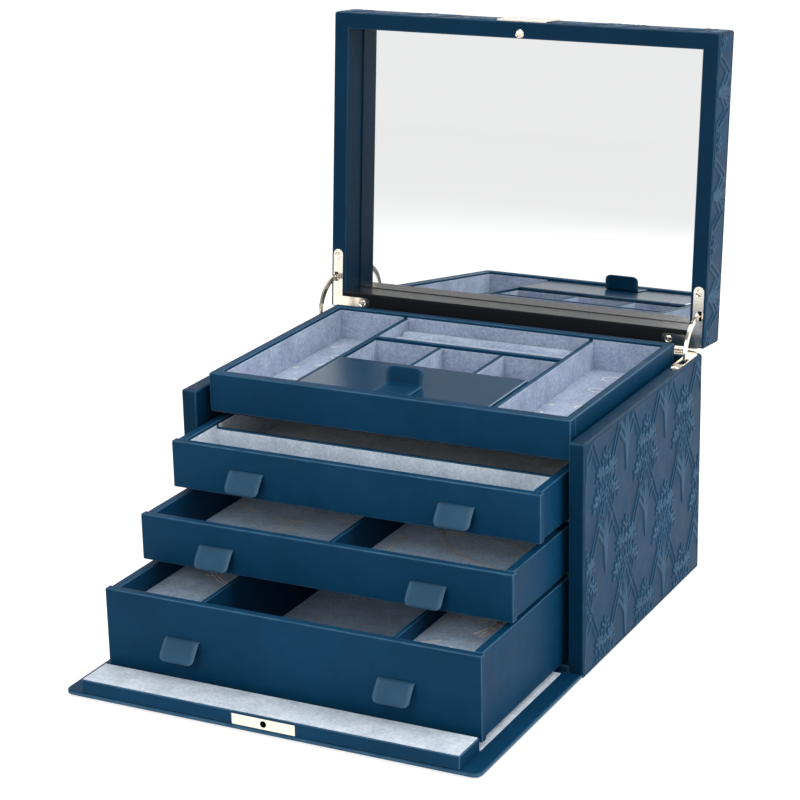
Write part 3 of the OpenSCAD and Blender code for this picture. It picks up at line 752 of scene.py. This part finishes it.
def cards(surface, low, high, suede, top, floor=True, seed=0.0, skip=()):
    """Suede on card in a bay: one thin board on each wall and a softly uneven one on the
    floor. low and high are the bay's corners, and top is where each card ends. floor may be
    another surface that takes the floor."""
    t = suede.thick
    x0, y0, z0 = low
    x1, y1 = high[0], high[1]
    tuck = 0.0002
    walls = {
        "left": ((x0 - tuck, y0, z0), (x0 + t, y1, top)),
        "right": ((x1 - t, y0, z0), (x1 + tuck, y1, top)),
        "front": ((x0, y0 - tuck, z0), (x1, y0 + t, top)),
        "rear": ((x0, y1 - t, z0), (x1, y1 + tuck, top)),
    }
    for name, (a, b) in walls.items():
        if name not in skip:
            board(surface, a, b, 0.0003)
    if floor:
        soft = Softness(0.0005, seed)
        lift = (x0 + t * 0.5, y0 + t * 0.5, z0 - tuck), (x1 - t * 0.5, y1 - t * 0.5, z0 + 2 * t)
        into = surface if floor is True else floor
        board(into, *lift, 0.0005, relief={(2, 1): soft})
    return surface


def ribbon(surface, line, width, z, thick=0.00006):
    """A flat printed line: the curve's points moved half the width to each side, with a
    top, and edges that go down to the suede."""
    line = np.asarray(line, float)
    tangent = np.gradient(line, axis=0)
    tangent /= np.linalg.norm(tangent, axis=1, keepdims=True)
    side = np.stack((-tangent[:, 1], tangent[:, 0]), 1) * width / 2
    rows = []
    for offset, height in ((1, -thick), (1, thick), (-1, thick), (-1, -thick), (1, -thick)):
        rows.append(np.column_stack((line + offset * side, np.full(len(line), z + height))))
    p = np.stack(rows, 1)
    surface.grid(p, None, True)
    for end, over in ((0, True), (-1, False)):
        ring = p[end]
        cap = np.stack((ring[:2][::-1], ring[2:4]))
        surface.grid(cap, None, over)
    return surface


def arcs(surface, low, high, z, seed):
    """Generic printed ornament: wide arcs that sweep over a floor in pairs, and a chain of
    loops that grows along its middle. Each arc is a part of a circle, cut off at the
    floor's margins."""
    low, high = np.asarray(low[:2]), np.asarray(high[:2])
    rng = np.random.default_rng(seed)
    span = high - low
    wide = float(span.max())
    for k in range(5):
        knot = low + span * ((k + 0.5) / 5 if span[1] >= span[0] else 0.5)
        knot = knot + span * rng.uniform(-0.2, 0.2, 2)
        radius = rng.uniform(0.28, 0.7) * wide
        heading = rng.uniform(0, 2 * np.pi)
        centre = knot + radius * np.array((math.cos(heading), math.sin(heading)))
        start = math.atan2(*(knot - centre)[::-1])
        turn = start + np.linspace(-1.1, 1.1, 90)
        for gap, width in ((0.0, 0.0013), (0.0024, 0.0007)):
            line = centre + (radius + gap) * np.stack((np.cos(turn), np.sin(turn)), 1)
            inside = ((line > low + 0.003) & (line < high - 0.003)).all(1)
            runs = np.split(np.arange(90), np.where(np.diff(inside.astype(int)))[0] + 1)
            for run in runs:
                if inside[run[0]] and len(run) > 6:
                    ribbon(surface, line[run], width, z)
    for k in range(6):
        turn = np.linspace(0, 2 * np.pi, 31)[:-1] + k
        radius = 0.0045 + 0.0012 * (k % 3)
        place = low + span * np.array((0.5 + 0.16 * math.cos(k * 2.1), (k + 0.7) / 6.4))
        loop = place + radius * np.stack((np.cos(turn), 0.7 * np.sin(turn)), 1)
        if ((loop > low + 0.002) & (loop < high - 0.002)).all():
            ribbon(surface, loop, 0.0009, z)
    return surface


def arc(centre, radius, start, end, count):
    """Points of an arc in Y and Z, from one angle in degrees to another."""
    a = np.radians(np.linspace(start, end, count))
    return np.stack((centre[0] + radius * np.cos(a), centre[1] + radius * np.sin(a)), 1)


class JB_OT_casing(bpy.types.Operator):
    """Makes the casing's walls, with embossed leather outside and smooth edges"""

    bl_idname = "jb.casing"
    bl_label = "Casing"

    def execute(self, context):
        leather = context.scene.jb_leather
        pattern = Fans(context.scene.jb_relief)
        slot_front, slot_rear, slot_floor = 0.0739, 0.1014, 0.118
        for side, name in ((1, "side_wall_right"), (0, "side_wall_left")):
            low, high = corners(name)
            sign = 1 if side else -1
            slot_x = sorted(sign * edge for edge in STAY_SLOT_X)
            slot = (*slot_x, slot_front, slot_rear, slot_floor)
            wall = board(
                Surface(), low, high, leather.thick_edge,
                relief={(0, side): pattern}, cut={(2, 1): slot},
            )
            show(wall, f"embossed_{name}", finish("leather_embossed"), "casing",
                 "leather_relief", name)
        low, high = corners("back_wall")
        wall = board(Surface(), low, high, leather.edge)
        show(wall, "back_board", finish("leather"), "casing", "leather_relief", "back_wall")
        skin_low = (-0.1444, high[1] - 0.0006, 0.0006)
        skin_high = (0.1444, high[1] + 0.0004, 0.1562)
        skin = board(Surface(), skin_low, skin_high, 0.00045, relief={(1, 1): pattern})
        show(skin, "embossed_back_panel", finish("leather_embossed"), "casing", "leather_relief")
        low, high = corners("base_board")
        base = board(Surface(), low, high, leather.edge)
        show(base, "covered_base", finish("leather"), "casing", "leather", "base_board")
        paint(finish("board"), "lower_shelf", "upper_shelf", "deck_board")
        paint(finish("leather"), "flap_hinge_strip")
        return {"FINISHED"}


class JB_OT_tray(bpy.types.Operator):
    """Makes the divided tray: leather walls and dividers, suede bays and ring rolls"""

    bl_idname = "jb.tray"
    bl_label = "Tray"

    def execute(self, context):
        suede = context.scene.jb_suede
        edge = context.scene.jb_leather.edge
        names = ("tray_front", "tray_back_wall", "tray_side_left", "tray_side_right")
        for name in names:
            low, high = corners(name)
            show(board(Surface(), low, high, edge), f"covered_{name}", finish("leather"),
                 "casing", "leather", name)
        for name in ("tray_divider_left", "tray_divider_right", "tray_cross_divider"):
            low, high = corners(name)
            show(board(Surface(), low, high, THIN_EDGE), f"covered_{name}", finish("leather"),
                 "casing", "leather", name)
        rails = Surface()
        low, high = corners("tray_lid_rails")
        board(rails, (low[0], high[1] - 0.003, low[2]), high, THIN_EDGE)
        board(rails, (low[0], low[1], high[2] - 0.0032), (high[0], low[1] + 0.002, high[2]),
              THIN_EDGE)
        show(rails, "covered_lid_rails", finish("leather"), "casing", "leather", "tray_lid_rails")
        bays = Surface()
        low, high = corners("tray_bay_dividers")
        board(bays, low, (low[0] + 0.0025, high[1], high[2]), THIN_EDGE)
        board(bays, (high[0] - 0.0025, low[1], low[2]), high, THIN_EDGE)
        show(bays, "covered_bay_dividers", finish("leather"), "casing", "leather",
             "tray_bay_dividers")
        self.line(suede)
        self.rolls()
        return {"FINISHED"}

    def line(self, suede):
        deck = corners("deck_board")[1][2]
        inner_x = corners("tray_side_right")[0][0]
        front, rear = corners("tray_front")[1][1], corners("tray_back_wall")[0][1]
        rim = corners("tray_front")[1][2]
        long_low, long_high = corners("tray_divider_right")
        cross_low, cross_high = corners("tray_cross_divider")
        rail_high = corners("tray_lid_rails")[1]
        bay_low, bay_high = corners("tray_bay_dividers")
        lining = Surface()
        prints = Surface()
        for sign in (-1, 1):
            x = sorted((sign * long_high[0], sign * inner_x))
            low, high = (x[0], front, deck), (x[1], rear, deck)
            outer, inner = ("right", "left") if sign > 0 else ("left", "right")
            cards(lining, low, high, suede, rim - suede.rim, seed=sign, skip=(inner,))
            cards(lining, low, high, suede, long_high[2] - LINING_DROP, floor=False,
                  skip=(outer, "front", "rear"))
            arcs(prints, low, high, deck + PRINT_LIFT, 7 + sign)
        inside = long_low[0]
        low, high = (-inside, cross_high[1], deck), (inside, rear, deck)
        cards(lining, low, high, suede, long_high[2] - LINING_DROP, seed=2.0, skip=("rear",))
        cards(lining, low, high, suede, rim - suede.rim, floor=False,
              skip=("front", "left", "right"))
        stops = [-inside, bay_low[0], bay_low[0] + 0.0025, bay_high[0] - 0.0025,
                 bay_high[0], inside]
        for k in range(3):
            low = (stops[2 * k], rail_high[1], deck)
            high = (stops[2 * k + 1], cross_low[1], deck)
            cards(lining, low, high, suede, bay_high[2] - LINING_DROP, seed=3.0 + k)
        low, high = (-inside, front, deck), (inside, rail_high[1] - 0.003, deck)
        cards(lining, low, high, suede, rail_high[2] - 0.0034, seed=6.0)
        show(lining, "tray_lining", finish("suede"), "casing", "suede")
        show(prints, "tray_print", finish("print"), "casing", "suede", smooth=False)

    def rolls(self):
        """Each roll is a foam bar under suede: a superellipse section whose radius swells
        by a few slow waves along the bar and draws in at its two ends."""
        low, high = corners("ring_rolls")
        radius = (high[2] - low[2]) / 2
        pitch = (high[1] - low[1] - 2 * radius) / 2
        for k in range(3):
            along = np.linspace(0, 1, 90)
            angle = np.linspace(0, 2 * np.pi, 41)
            ends = np.clip(np.minimum(along, 1 - along) / 0.03, 0, 1)
            pulled = 0.80 + 0.20 * np.sqrt(1 - (1 - ends) ** 2)
            wave = 0.006 * np.sin(along * 23 + k) + 0.004 * np.sin(along * 41 + 2 * k)
            r = radius * (pulled + wave)[:, None] * 0.995
            c, s = np.cos(angle)[None, :], np.sin(angle)[None, :]
            y = low[1] + radius + k * pitch + r * np.sign(c) * abs(c) ** 0.8
            z = low[2] + radius + r * np.sign(s) * abs(s) ** 0.9
            z = np.maximum(z, low[2] + 0.0001)
            x = np.broadcast_to((low[0] + (high[0] - low[0]) * along)[:, None], y.shape)
            p = np.stack((x, y, z), -1)
            roll = Surface().grid(p, None, True)
            for end, over in ((0, True), (-1, False)):
                centre = np.broadcast_to(p[end].mean(0), p[end].shape)
                roll.grid(np.stack((centre, p[end])), None, over)
            nodes = ("ring_rolls",) if k == 0 else ()
            made = show(roll, f"ring_roll_{k + 1}", finish("suede"), "casing", "suede", *nodes)


class JB_OT_cover(bpy.types.Operator):
    """Makes the compartment's leather lid and its bent tab"""

    bl_idname = "jb.cover"
    bl_label = "Compartment lid"

    def execute(self, context):
        low, high = corners("compartment_lid")
        panel = board(Surface(), low, high, 0.0009)
        show(panel, "covered_compartment_lid", finish("leather_smooth"), "compartment_cover",
             "leather", "compartment_lid")
        tab_top = corners("compartment_tab")[1][2]
        crease = low[1] + 0.022
        bend = 0.0016
        top = high[2]
        flat = [(low[1] + 0.0006, top + 0.0006), (low[1] + 0.004, top + 0.0006),
                (crease - bend - 0.0006, top + 0.0006)]
        curve = arc((crease - bend, top + 0.0007 + bend), bend, -90, -10, 7)
        lean = np.radians(80)
        tail = curve[-1] + np.outer(np.linspace(0.1, 1, 14), (math.cos(lean), math.sin(lean))) * (
            tab_top - curve[-1][1] - 0.0003) / math.sin(lean)
        path = np.concatenate((flat, curve, tail))
        tab = strap(Surface(), path, 0.0138, 0.0013, 0.0042)
        show(tab, "bent_compartment_tab", finish("leather"), "compartment_cover", "leather",
             "compartment_tab")
        return {"FINISHED"}


class JB_OT_drawers(bpy.types.Operator):
    """Makes the three drawers: covered boards, suede bays, printed floors and pull tabs"""

    bl_idname = "jb.drawers"
    bl_label = "Drawers"

    def execute(self, context):
        edge = context.scene.jb_leather.edge
        for n in (1, 2, 3):
            body = f"drawer_{n}"
            low, high = corners(f"{body}_front")
            face = board(Surface(), low, high, edge)
            show(face, f"{body}_face", finish("leather"), body, "leather", f"{body}_front")
            self.walls(n, body)
            self.line(n, body, context.scene.jb_suede)
            self.tabs(body)
            paint(finish("board"), f"{body}_bottom")
        return {"FINISHED"}

    def walls(self, n, body):
        low, high = corners(f"{body}_walls")
        box = Surface()
        for sign in (-1, 1):
            x = (sign * high[0], sign * (high[0] - DRAWER_WALL))
            board(box, (min(x), low[1] - 0.0006, low[2]), (max(x), high[1], high[2]), 0.0009)
        inner = high[0] - DRAWER_WALL
        overlap = 0.0005
        board(box, (-inner - overlap, high[1] - DRAWER_BACK, low[2]),
              (inner + overlap, high[1], high[2]), 0.0009)
        show(box, f"{body}_box", finish("leather"), body, "leather", f"{body}_walls")
        inside = Surface()
        node = f"{body}_dividers" if n == 3 else f"{body}_divider"
        low, high = corners(node)
        if n == 3:
            for x in (low[0], high[0] - 0.003):
                board(inside, (x, low[1], low[2]), (x + 0.003, high[1], high[2]), THIN_EDGE)
        else:
            board(inside, low, high, THIN_EDGE)
        show(inside, f"{body}_partition", finish("leather"), body, "leather", node)

    def line(self, n, body, suede):
        wall_high = corners(f"{body}_walls")[1]
        inner = wall_high[0] - DRAWER_WALL
        front, rear = corners(f"{body}_front")[1][1], wall_high[1] - DRAWER_BACK
        floor = corners(f"{body}_bottom")[1][2]
        rim = wall_high[2]
        node = f"{body}_dividers" if n == 3 else f"{body}_divider"
        low, high = corners(node)
        lining, prints, pads = Surface(), Surface(), Surface()
        if n == 1:
            bays = [((-inner, front, floor), (inner, low[1], floor), ("rear",)),
                    ((-inner, high[1], floor), (inner, rear, floor), ("front",))]
        elif n == 2:
            bays = [((-inner, front, floor), (low[0], rear, floor), ("right",)),
                    ((high[0], front, floor), (inner, rear, floor), ("left",))]
        else:
            pad = corners("drawer_3_pads")[1][2]
            bays = [((-inner, front, pad), (low[0], rear, pad), ("right",)),
                    ((low[0] + 0.003, front, floor), (high[0] - 0.003, rear, floor),
                     ("left", "right")),
                    ((high[0], front, pad), (inner, rear, pad), ("left",))]
        for k, (a, b, inside) in enumerate(bays):
            both = {"left", "right", "front", "rear"}
            bare = ("left", "right") if n > 1 else ()
            padded = n == 3 and k != 1
            cards(lining, a, b, suede, rim - suede.rim, pads if padded else True,
                  n + 0.7 * k, inside + bare)
            cards(lining, a, b, suede, high[2] - LINING_DROP, floor=False,
                  skip=tuple(both - set(inside)) + bare)
            if n == 2 or padded:
                arcs(prints, a, b, a[2] + PRINT_LIFT, 10 * n + k)
        if n == 3:
            for k, (a, b, _) in ((1, bays[0]), (2, bays[2])):
                cushion = board(Surface(), (a[0], a[1], floor), (b[0], b[1], pad), 0.0012,
                                relief={(2, 1): Softness(0.0004, k)}, step=(0.008, 0.008, 0.008))
                nodes = ("drawer_3_pads",) if k == 1 else ()
                made = show(cushion, f"drawer_3_pad_{k}", finish("suede"), body, "suede", *nodes)
        # Painted light: the drawers' lining is a lighter copy of the suede.
        kind = "suede_lit_copy" if n == 1 else "suede_deep_lit_copy"
        show(lining, f"{body}_lining", finish(kind), body, "suede")
        if pads.count:
            show(pads, f"{body}_pad_cloth", finish("suede_pads"), body, "suede")
        if prints.count:
            show(prints, f"{body}_print", finish("print"), body, "suede", smooth=False)

    def tabs(self, body):
        """A tab comes out of the front board, turns over a small bend and hangs away."""
        face = corners(f"{body}_front")[0][1]
        low, high = corners(f"{body}_tabs")
        crease = high[2] - 0.0015
        slant = math.radians(235)
        bend = 0.0022
        root = np.array([(face + 0.0012, crease + 0.0003), (face - 0.0002, crease + 0.0003)])
        curve = arc((face - 0.0004, crease + 0.0003 - bend), bend, 90, 145, 7)
        direction = np.array((math.cos(slant), math.sin(slant)))
        reach = (curve[-1][1] - low[2] - 0.0005) / -direction[1]
        tail = curve[-1] + np.outer(np.linspace(0.06, 1, 16), direction) * reach
        sag = 0.0006 * np.sin(np.linspace(0, np.pi, 16))
        tail[:, 0] -= sag
        path = np.concatenate((root, curve, tail))
        both = Surface()
        for x in (-0.075, 0.075):
            strap(both, path, 0.0125, 0.0014, 0.0042, middle=(x, 0, 0))
        # The tabs' finish is lighter than the fronts: painted light.
        show(both, f"{body}_pulls", finish("leather_tab_lit"), body, "leather", f"{body}_tabs")


class JB_OT_lid(bpy.types.Operator):
    """Makes the lid: embossed top and rims, mirror, front plate, stud and hinges"""

    bl_idname = "jb.lid"
    bl_label = "Lid"

    def execute(self, context):
        relief = context.scene.jb_relief
        x, w = LID_HALF_WIDTH, RIM_WIDTH
        front, rear = LID_FRONT, LID_REAR
        low, top, rim_top = LID_UNDERSIDE, 0.188, RIM_TOP
        pattern = Fans(relief)
        edge_pattern = Fans(relief, 0.03)
        rims = {
            "front": ((-x, front, low), (x, front + w, rim_top), (1, 0),
                      mitre(1, front + w, front, 0, (-x, x))),
            "rear": ((-x, rear - w, low), (x, rear, rim_top), (1, 1),
                     mitre(1, rear - w, rear, 0, (-x, x))),
            "right": ((x - w, front, low), (x, rear, rim_top), (0, 1),
                      mitre(0, x - w, x, 1, (front, rear))),
            "left": ((-x, front, low), (-x + w, rear, rim_top), (0, 0),
                     mitre(0, -x + w, -x, 1, (front, rear))),
        }
        for name, (a, b, face, warp) in rims.items():
            cut = None
            if name in ("left", "right"):
                sign = 1 if name == "right" else -1
                slot_x = sorted(sign * side for side in STAY_SLOT_X)
                cut = {(2, 0): (*slot_x, 0.0784, 0.0864, 0.161)}
            rail = board(Surface(), a, b, context.scene.jb_leather.edge,
                         relief={face: edge_pattern},
                         warp=warp, cut=cut)
            # The rear rail's finish paints shade on all of it but its outer skin.
            kind = "leather_rear_painted_shade" if name == "rear" else "leather_embossed"
            show(turned(rail), f"embossed_rim_{name}", finish(kind), "lid", "leather_relief",
                 f"lid_rim_{name}")
        panel = board(Surface(), (-x + 0.0004, front + 0.0004, 0.1836),
                      (x - 0.0004, rear - 0.0004, top - 0.0002), 0.0014,
                      relief={(2, 1): pattern})
        show(turned(panel), "embossed_lid_panel", finish("leather_embossed"), "lid",
             "leather_relief", "lid_top_board")
        plate = board(Surface(), (-0.0187, front - 0.0012, 0.160), (0.0187, front + 0.0004, 0.186),
                      0.0004)
        show(turned(plate), "front_plate", finish("gold"), "lid", "gold_metal",
             "lid_front_plate")
        # Painted shade: a thin near-black sheet on the rear rail's inner face below the mirror,
        # where the rail lies in shade.
        facing = board(Surface(), (-x + w, rear - w - 0.0004, low + 0.0006),
                       (x - w, rear - w + 0.0001, MIRROR_FACE), 0.0002)
        show(turned(facing), "rear_rim_shade_sheet", finish("leather_dark"), "lid", "leather")
        glass = board(Surface(), (-x + w, front + w, MIRROR_FACE),
                      (x - w, rear - w, MIRROR_BACK), 0.0009)
        show(turned(glass), "bevelled_mirror", finish("mirror"), "lid", "mirror", "lid_mirror")
        paint(finish("gold"), "lock_stud", "hinge_lid_leaf_left", "hinge_lid_leaf_right",
              "hinge_base_leaf_left", "hinge_base_leaf_right", "hinge_pins", "lid_stay_left",
              "lid_stay_right")
        self.screws()
        return {"FINISHED"}

    def screws(self):
        """Four raised heads on the lid's leaves and four on the casing's, each turned to
        rest at another angle."""
        places = ((0.1395, 0.0665), (0.119, 0.10025))
        for name, body, level, down in (
            ("lid", "lid", 0.15765, True),
            ("base", "casing", 0.15735, False),
        ):
            heads = Surface()
            for k, (x, y) in enumerate(places + tuple((-x, y) for x, y in places)):
                screw_head(heads, (x, y, level), down, 0.5 + 0.9 * k)
            if down:
                turned(heads)
            show(heads, f"hinge_{name}_screw_heads", finish("gold"), body, "gold_metal",
                 f"hinge_{name}_screws")


class JB_OT_fall_front(bpy.types.Operator):
    """Makes the fall front: rounded leather board, suede, lock rail and lock"""

    bl_idname = "jb.fall_front"
    bl_label = "Fall front"

    def execute(self, context):
        low, high = corners("flap_board")
        self.leaf(low + np.array((0, 0, 0.00095)), high, context.scene.jb_leather)
        panel = board(Surface(), (low[0] + 0.002, low[1] + 0.002, low[2] + 0.00066),
                      (high[0] - 0.002, high[1] - 0.002, low[2] + 0.0014), 0.0003,
                      relief={(2, 0): Fans(context.scene.jb_relief)})
        show(panel, "embossed_fall_front_panel", finish("leather_embossed"), "fall_front",
             "leather_relief")
        lining_low, lining_high = corners("flap_lining")
        lining = board(Surface(), lining_low, lining_high, 0.00024,
                       relief={(2, 1): Softness(0.0002, 1.0)})
        # Painted light: the lining takes the lighter copy of the suede.
        show(lining, "fall_front_lining", finish("suede_lit_copy"), "fall_front", "suede", "flap_lining")
        self.rail()
        paint(finish("gold"), "lock_plate", "lock_bolt", "keyhole_plate")
        paint(finish("dark_metal"), "lock_case")
        return {"FINISHED"}

    def leaf(self, low, high, leather):
        """The board's outline has two round corners. Its edge is a half circle carried
        round that outline, and each face closes from there to the middle line."""
        r, e = 0.006, min(leather.edge, 0.49 * (high[2] - low[2]))
        n = 12
        a = np.radians(np.linspace(180, 270, n))
        left = np.stack((low[0] + r + r * np.cos(a), low[1] + r + r * np.sin(a)), 1)
        b = np.radians(np.linspace(270, 360, n))
        right = np.stack((high[0] - r + r * np.cos(b), low[1] + r + r * np.sin(b)), 1)
        straight = np.stack((np.linspace(low[0] + r, high[0] - r, 40)[1:-1],
                             np.full(38, low[1])), 1)
        side_r = np.stack((np.full(12, high[0]), np.linspace(low[1] + r, high[1], 13)[1:]), 1)
        back = np.stack((np.linspace(high[0], low[0], 40)[1:], np.full(39, high[1])), 1)
        side_l = np.stack((np.full(12, low[0]), np.linspace(high[1], low[1] + r, 13)[1:]), 1)
        line = np.concatenate((left, straight, right, side_r, back, side_l[:-1]))
        middle = np.array(((low[0] + high[0]) / 2, (low[1] + high[1]) / 2))
        tangent = np.roll(line, -1, 0) - np.roll(line, 1, 0)
        tangent /= np.linalg.norm(tangent, axis=1, keepdims=True)
        inward = np.stack((-tangent[:, 1], tangent[:, 0]), 1)
        turn = np.radians(np.linspace(-90, 90, 9))
        rings = []
        z_mid, half = (low[2] + high[2]) / 2, (high[2] - low[2]) / 2
        for scale in (0.0, 0.5, 1.0):
            p = middle + (line + inward * (e + 0.0003) - middle) * scale
            rings.append((p, low[2], 0.0))
        for t in turn:
            lift = z_mid + math.copysign(half - e, math.sin(t)) + e * math.sin(t)
            rings.append((line + inward * e * (1 - math.cos(t)), lift, 1.0 - abs(math.sin(t))))
        for scale in (1.0, 0.5, 0.0):
            p = middle + (line + inward * (e + 0.0003) - middle) * scale
            rings.append((p, high[2], 0.0))
        grid = np.stack([np.column_stack((p, np.full(len(p), z))) for p, z, _ in rings])
        grid = np.concatenate((grid, grid[:, :1]), 1)
        worn = np.array([w for _, _, w in rings])[:, None]
        sheet = Surface().grid(grid, {"edge": worn, "relief": 0.4}, True)
        show(sheet, "fall_front_board", finish("leather"), "fall_front", "leather_relief",
             "flap_board")

    def rail(self):
        low, high = corners("flap_lock_rail")
        plate_high = corners("lock_plate")[1]
        case_high = corners("lock_case")[1]
        cap = 0.001
        body = Surface()
        half = plate_high[0] + 0.0001
        for sign in (-1, 1):
            x = sorted((sign * half, sign * high[0]))
            board(body, (x[0], low[1], low[2]), (x[1], high[1], high[2] - cap * 0.5), 0.0009)
        board(body, (-half - 0.0005, low[1] + 0.00005, plate_high[2] + 0.0001),
              (half + 0.0005, high[1] - 0.0001, high[2] - cap * 0.5), 0.0005)
        board(body, (-half - 0.0004, case_high[1] + 0.0002, low[2] + 0.0001),
              (half + 0.0004, high[1] - 0.0002, high[2] - cap), 0.0005)
        show(body, "lock_rail_body", finish("leather"), "fall_front", "leather",
             "flap_lock_rail")
        inset = 0.0009
        top = board(Surface(), (low[0] + inset, low[1] + inset, high[2] - cap - 0.0004),
                    (high[0] - inset, high[1] - inset, high[2]), 0.0005,
                    relief={(2, 1): Softness(0.0003, 4.0)})
        # Painted light: the rail's top takes the lighter copy of the suede.
        show(top, "lock_rail_suede", finish("suede_lit_copy"), "fall_front", "suede")


class JB_OT_stage(bpy.types.Operator):
    """Makes the floor, the lights and the camera"""

    bl_idname = "jb.stage"
    bl_label = "Stage"

    def execute(self, context):
        scene = context.scene
        self.floor(scene)
        scene.world = self.room()
        self.lights(scene)
        self.camera(scene)
        scene.view_settings.view_transform = "Standard"
        return {"FINISHED"}

    def floor(self, scene):
        plane = np.array([[[-6, -6, 0], [-6, 6, 0]], [[6, -6, 0], [6, 6, 0]]], float)
        floor = bpy.data.objects.new("floor", Surface().grid(plane).mesh("floor"))
        scene.collection.objects.link(floor)
        pale = Finish("pale_floor", Roughness=0.8, Specular_IOR_Level=0.1, Emission_Strength=1.0)
        speck = pale.noise(pale.place(), 3.0)
        pale.drive("Base Color", pale.blend(speck, (0.40, 0.40, 0.40), (0.42, 0.42, 0.42)))
        pale.shader.inputs["Emission Color"].default_value = (0.7, 0.7, 0.7, 1.0)
        floor.data.materials.append(pale.material)

    def lights(self, scene):
        """Three wide soft lamps, each aimed at the middle of the box."""
        middle = Vector((0, 0, 0.12))
        lights = (
            ("key", (2.0, 0.2, 1.4), 1.5, 42.0),
            ("top", (0.0, 0.5, 2.2), 1.8, 28.0),
            ("front", (0.1, -2.1, 1.3), 1.6, 36.0),
        )
        for name, at, size, power in lights:
            lamp = bpy.data.lights.new(name, "AREA")
            lamp.size, lamp.energy = size, power
            made = bpy.data.objects.new(name, lamp)
            aim = (middle - Vector(at)).to_track_quat("-Z", "Y")
            made.matrix_world = Matrix.Translation(at) @ aim.to_matrix().to_4x4()
            scene.collection.objects.link(made)

    def camera(self, scene):
        camera = bpy.data.cameras.new("camera")
        camera.sensor_width, camera.lens = 36.0, 109.5
        camera.shift_x, camera.shift_y = 0.0404, 0.0609
        camera.clip_start, camera.clip_end = 0.05, 60
        made = bpy.data.objects.new("camera", camera)
        right, forward = np.array(CAMERA_RIGHT), np.array(CAMERA_FORWARD)
        place = np.eye(4)
        place[:3, 0], place[:3, 1], place[:3, 2] = right, np.cross(right, forward), -forward
        place[:3, 3] = CAMERA_AT
        made.matrix_world = Matrix(place.tolist())
        scene.collection.objects.link(made)
        scene.camera = made

    def room(self):
        """A white room, dim in front above the horizon, so that the box's front lies in
        soft shade while its mirror still sees a white wall."""
        world = bpy.data.worlds.new("room")
        world.use_nodes = True
        tree = world.node_tree
        where = tree.nodes.new("ShaderNodeTexCoord")
        split = tree.nodes.new("ShaderNodeSeparateXYZ")
        tree.links.new(where.outputs["Generated"], split.inputs["Vector"])
        brightest = tree.nodes.new("ShaderNodeMath")
        brightest.operation = "MAXIMUM"
        ramps = (("Y", -0.5, 0.6, 0.3, 1.0), ("Z", 0.16, 0.34, 1.0, 0.3))
        for k, (axis, low, high, at_low, at_high) in enumerate(ramps):
            ramp = tree.nodes.new("ShaderNodeMapRange")
            tree.links.new(split.outputs[axis], ramp.inputs["Value"])
            for key, value in (("From Min", low), ("From Max", high),
                               ("To Min", at_low), ("To Max", at_high)):
                ramp.inputs[key].default_value = value
            tree.links.new(ramp.outputs["Result"], brightest.inputs[k])
        shade = tree.nodes["Background"]
        tree.links.new(brightest.outputs[0], shade.inputs["Strength"])
        shade.inputs["Color"].default_value = (1, 1, 1, 1)
        return world


class JB_PT_panel(bpy.types.Panel):
    """The box's sizes and colours, and one button for each group of pieces"""

    bl_label = "Jewelry Box"
    bl_idname = "JB_PT_panel"
    bl_space_type = "VIEW_3D"
    bl_region_type = "UI"
    bl_category = "Jewelry Box"

    def draw(self, context):
        for group, keys in SETTINGS:
            box = self.layout.box()
            for key in keys.__annotations__:
                box.prop(getattr(context.scene, group), key)
        for maker in MAKERS:
            self.layout.operator(maker.bl_idname)


SETTINGS = (
    ("jb_leather", LeatherSettings),
    ("jb_relief", ReliefSettings),
    ("jb_suede", SuedeSettings),
    ("jb_metal", MetalSettings),
)
MAKERS = (
    JB_OT_stage,
    JB_OT_casing,
    JB_OT_tray,
    JB_OT_cover,
    JB_OT_drawers,
    JB_OT_lid,
    JB_OT_fall_front,
)


def register():
    for group, keys in SETTINGS:
        bpy.utils.register_class(keys)
        setattr(bpy.types.Scene, group, bpy.props.PointerProperty(type=keys))
    for kind in (*MAKERS, JB_PT_panel):
        bpy.utils.register_class(kind)


def unregister():
    for kind in (JB_PT_panel, *MAKERS):
        bpy.utils.unregister_class(kind)
    for group, keys in SETTINGS:
        delattr(bpy.types.Scene, group)
        bpy.utils.unregister_class(keys)


def main():
    register()
    for maker in MAKERS:
        group, name = maker.bl_idname.split(".")
        getattr(getattr(bpy.ops, group), name)()


if __name__ == "__main__":
    main()
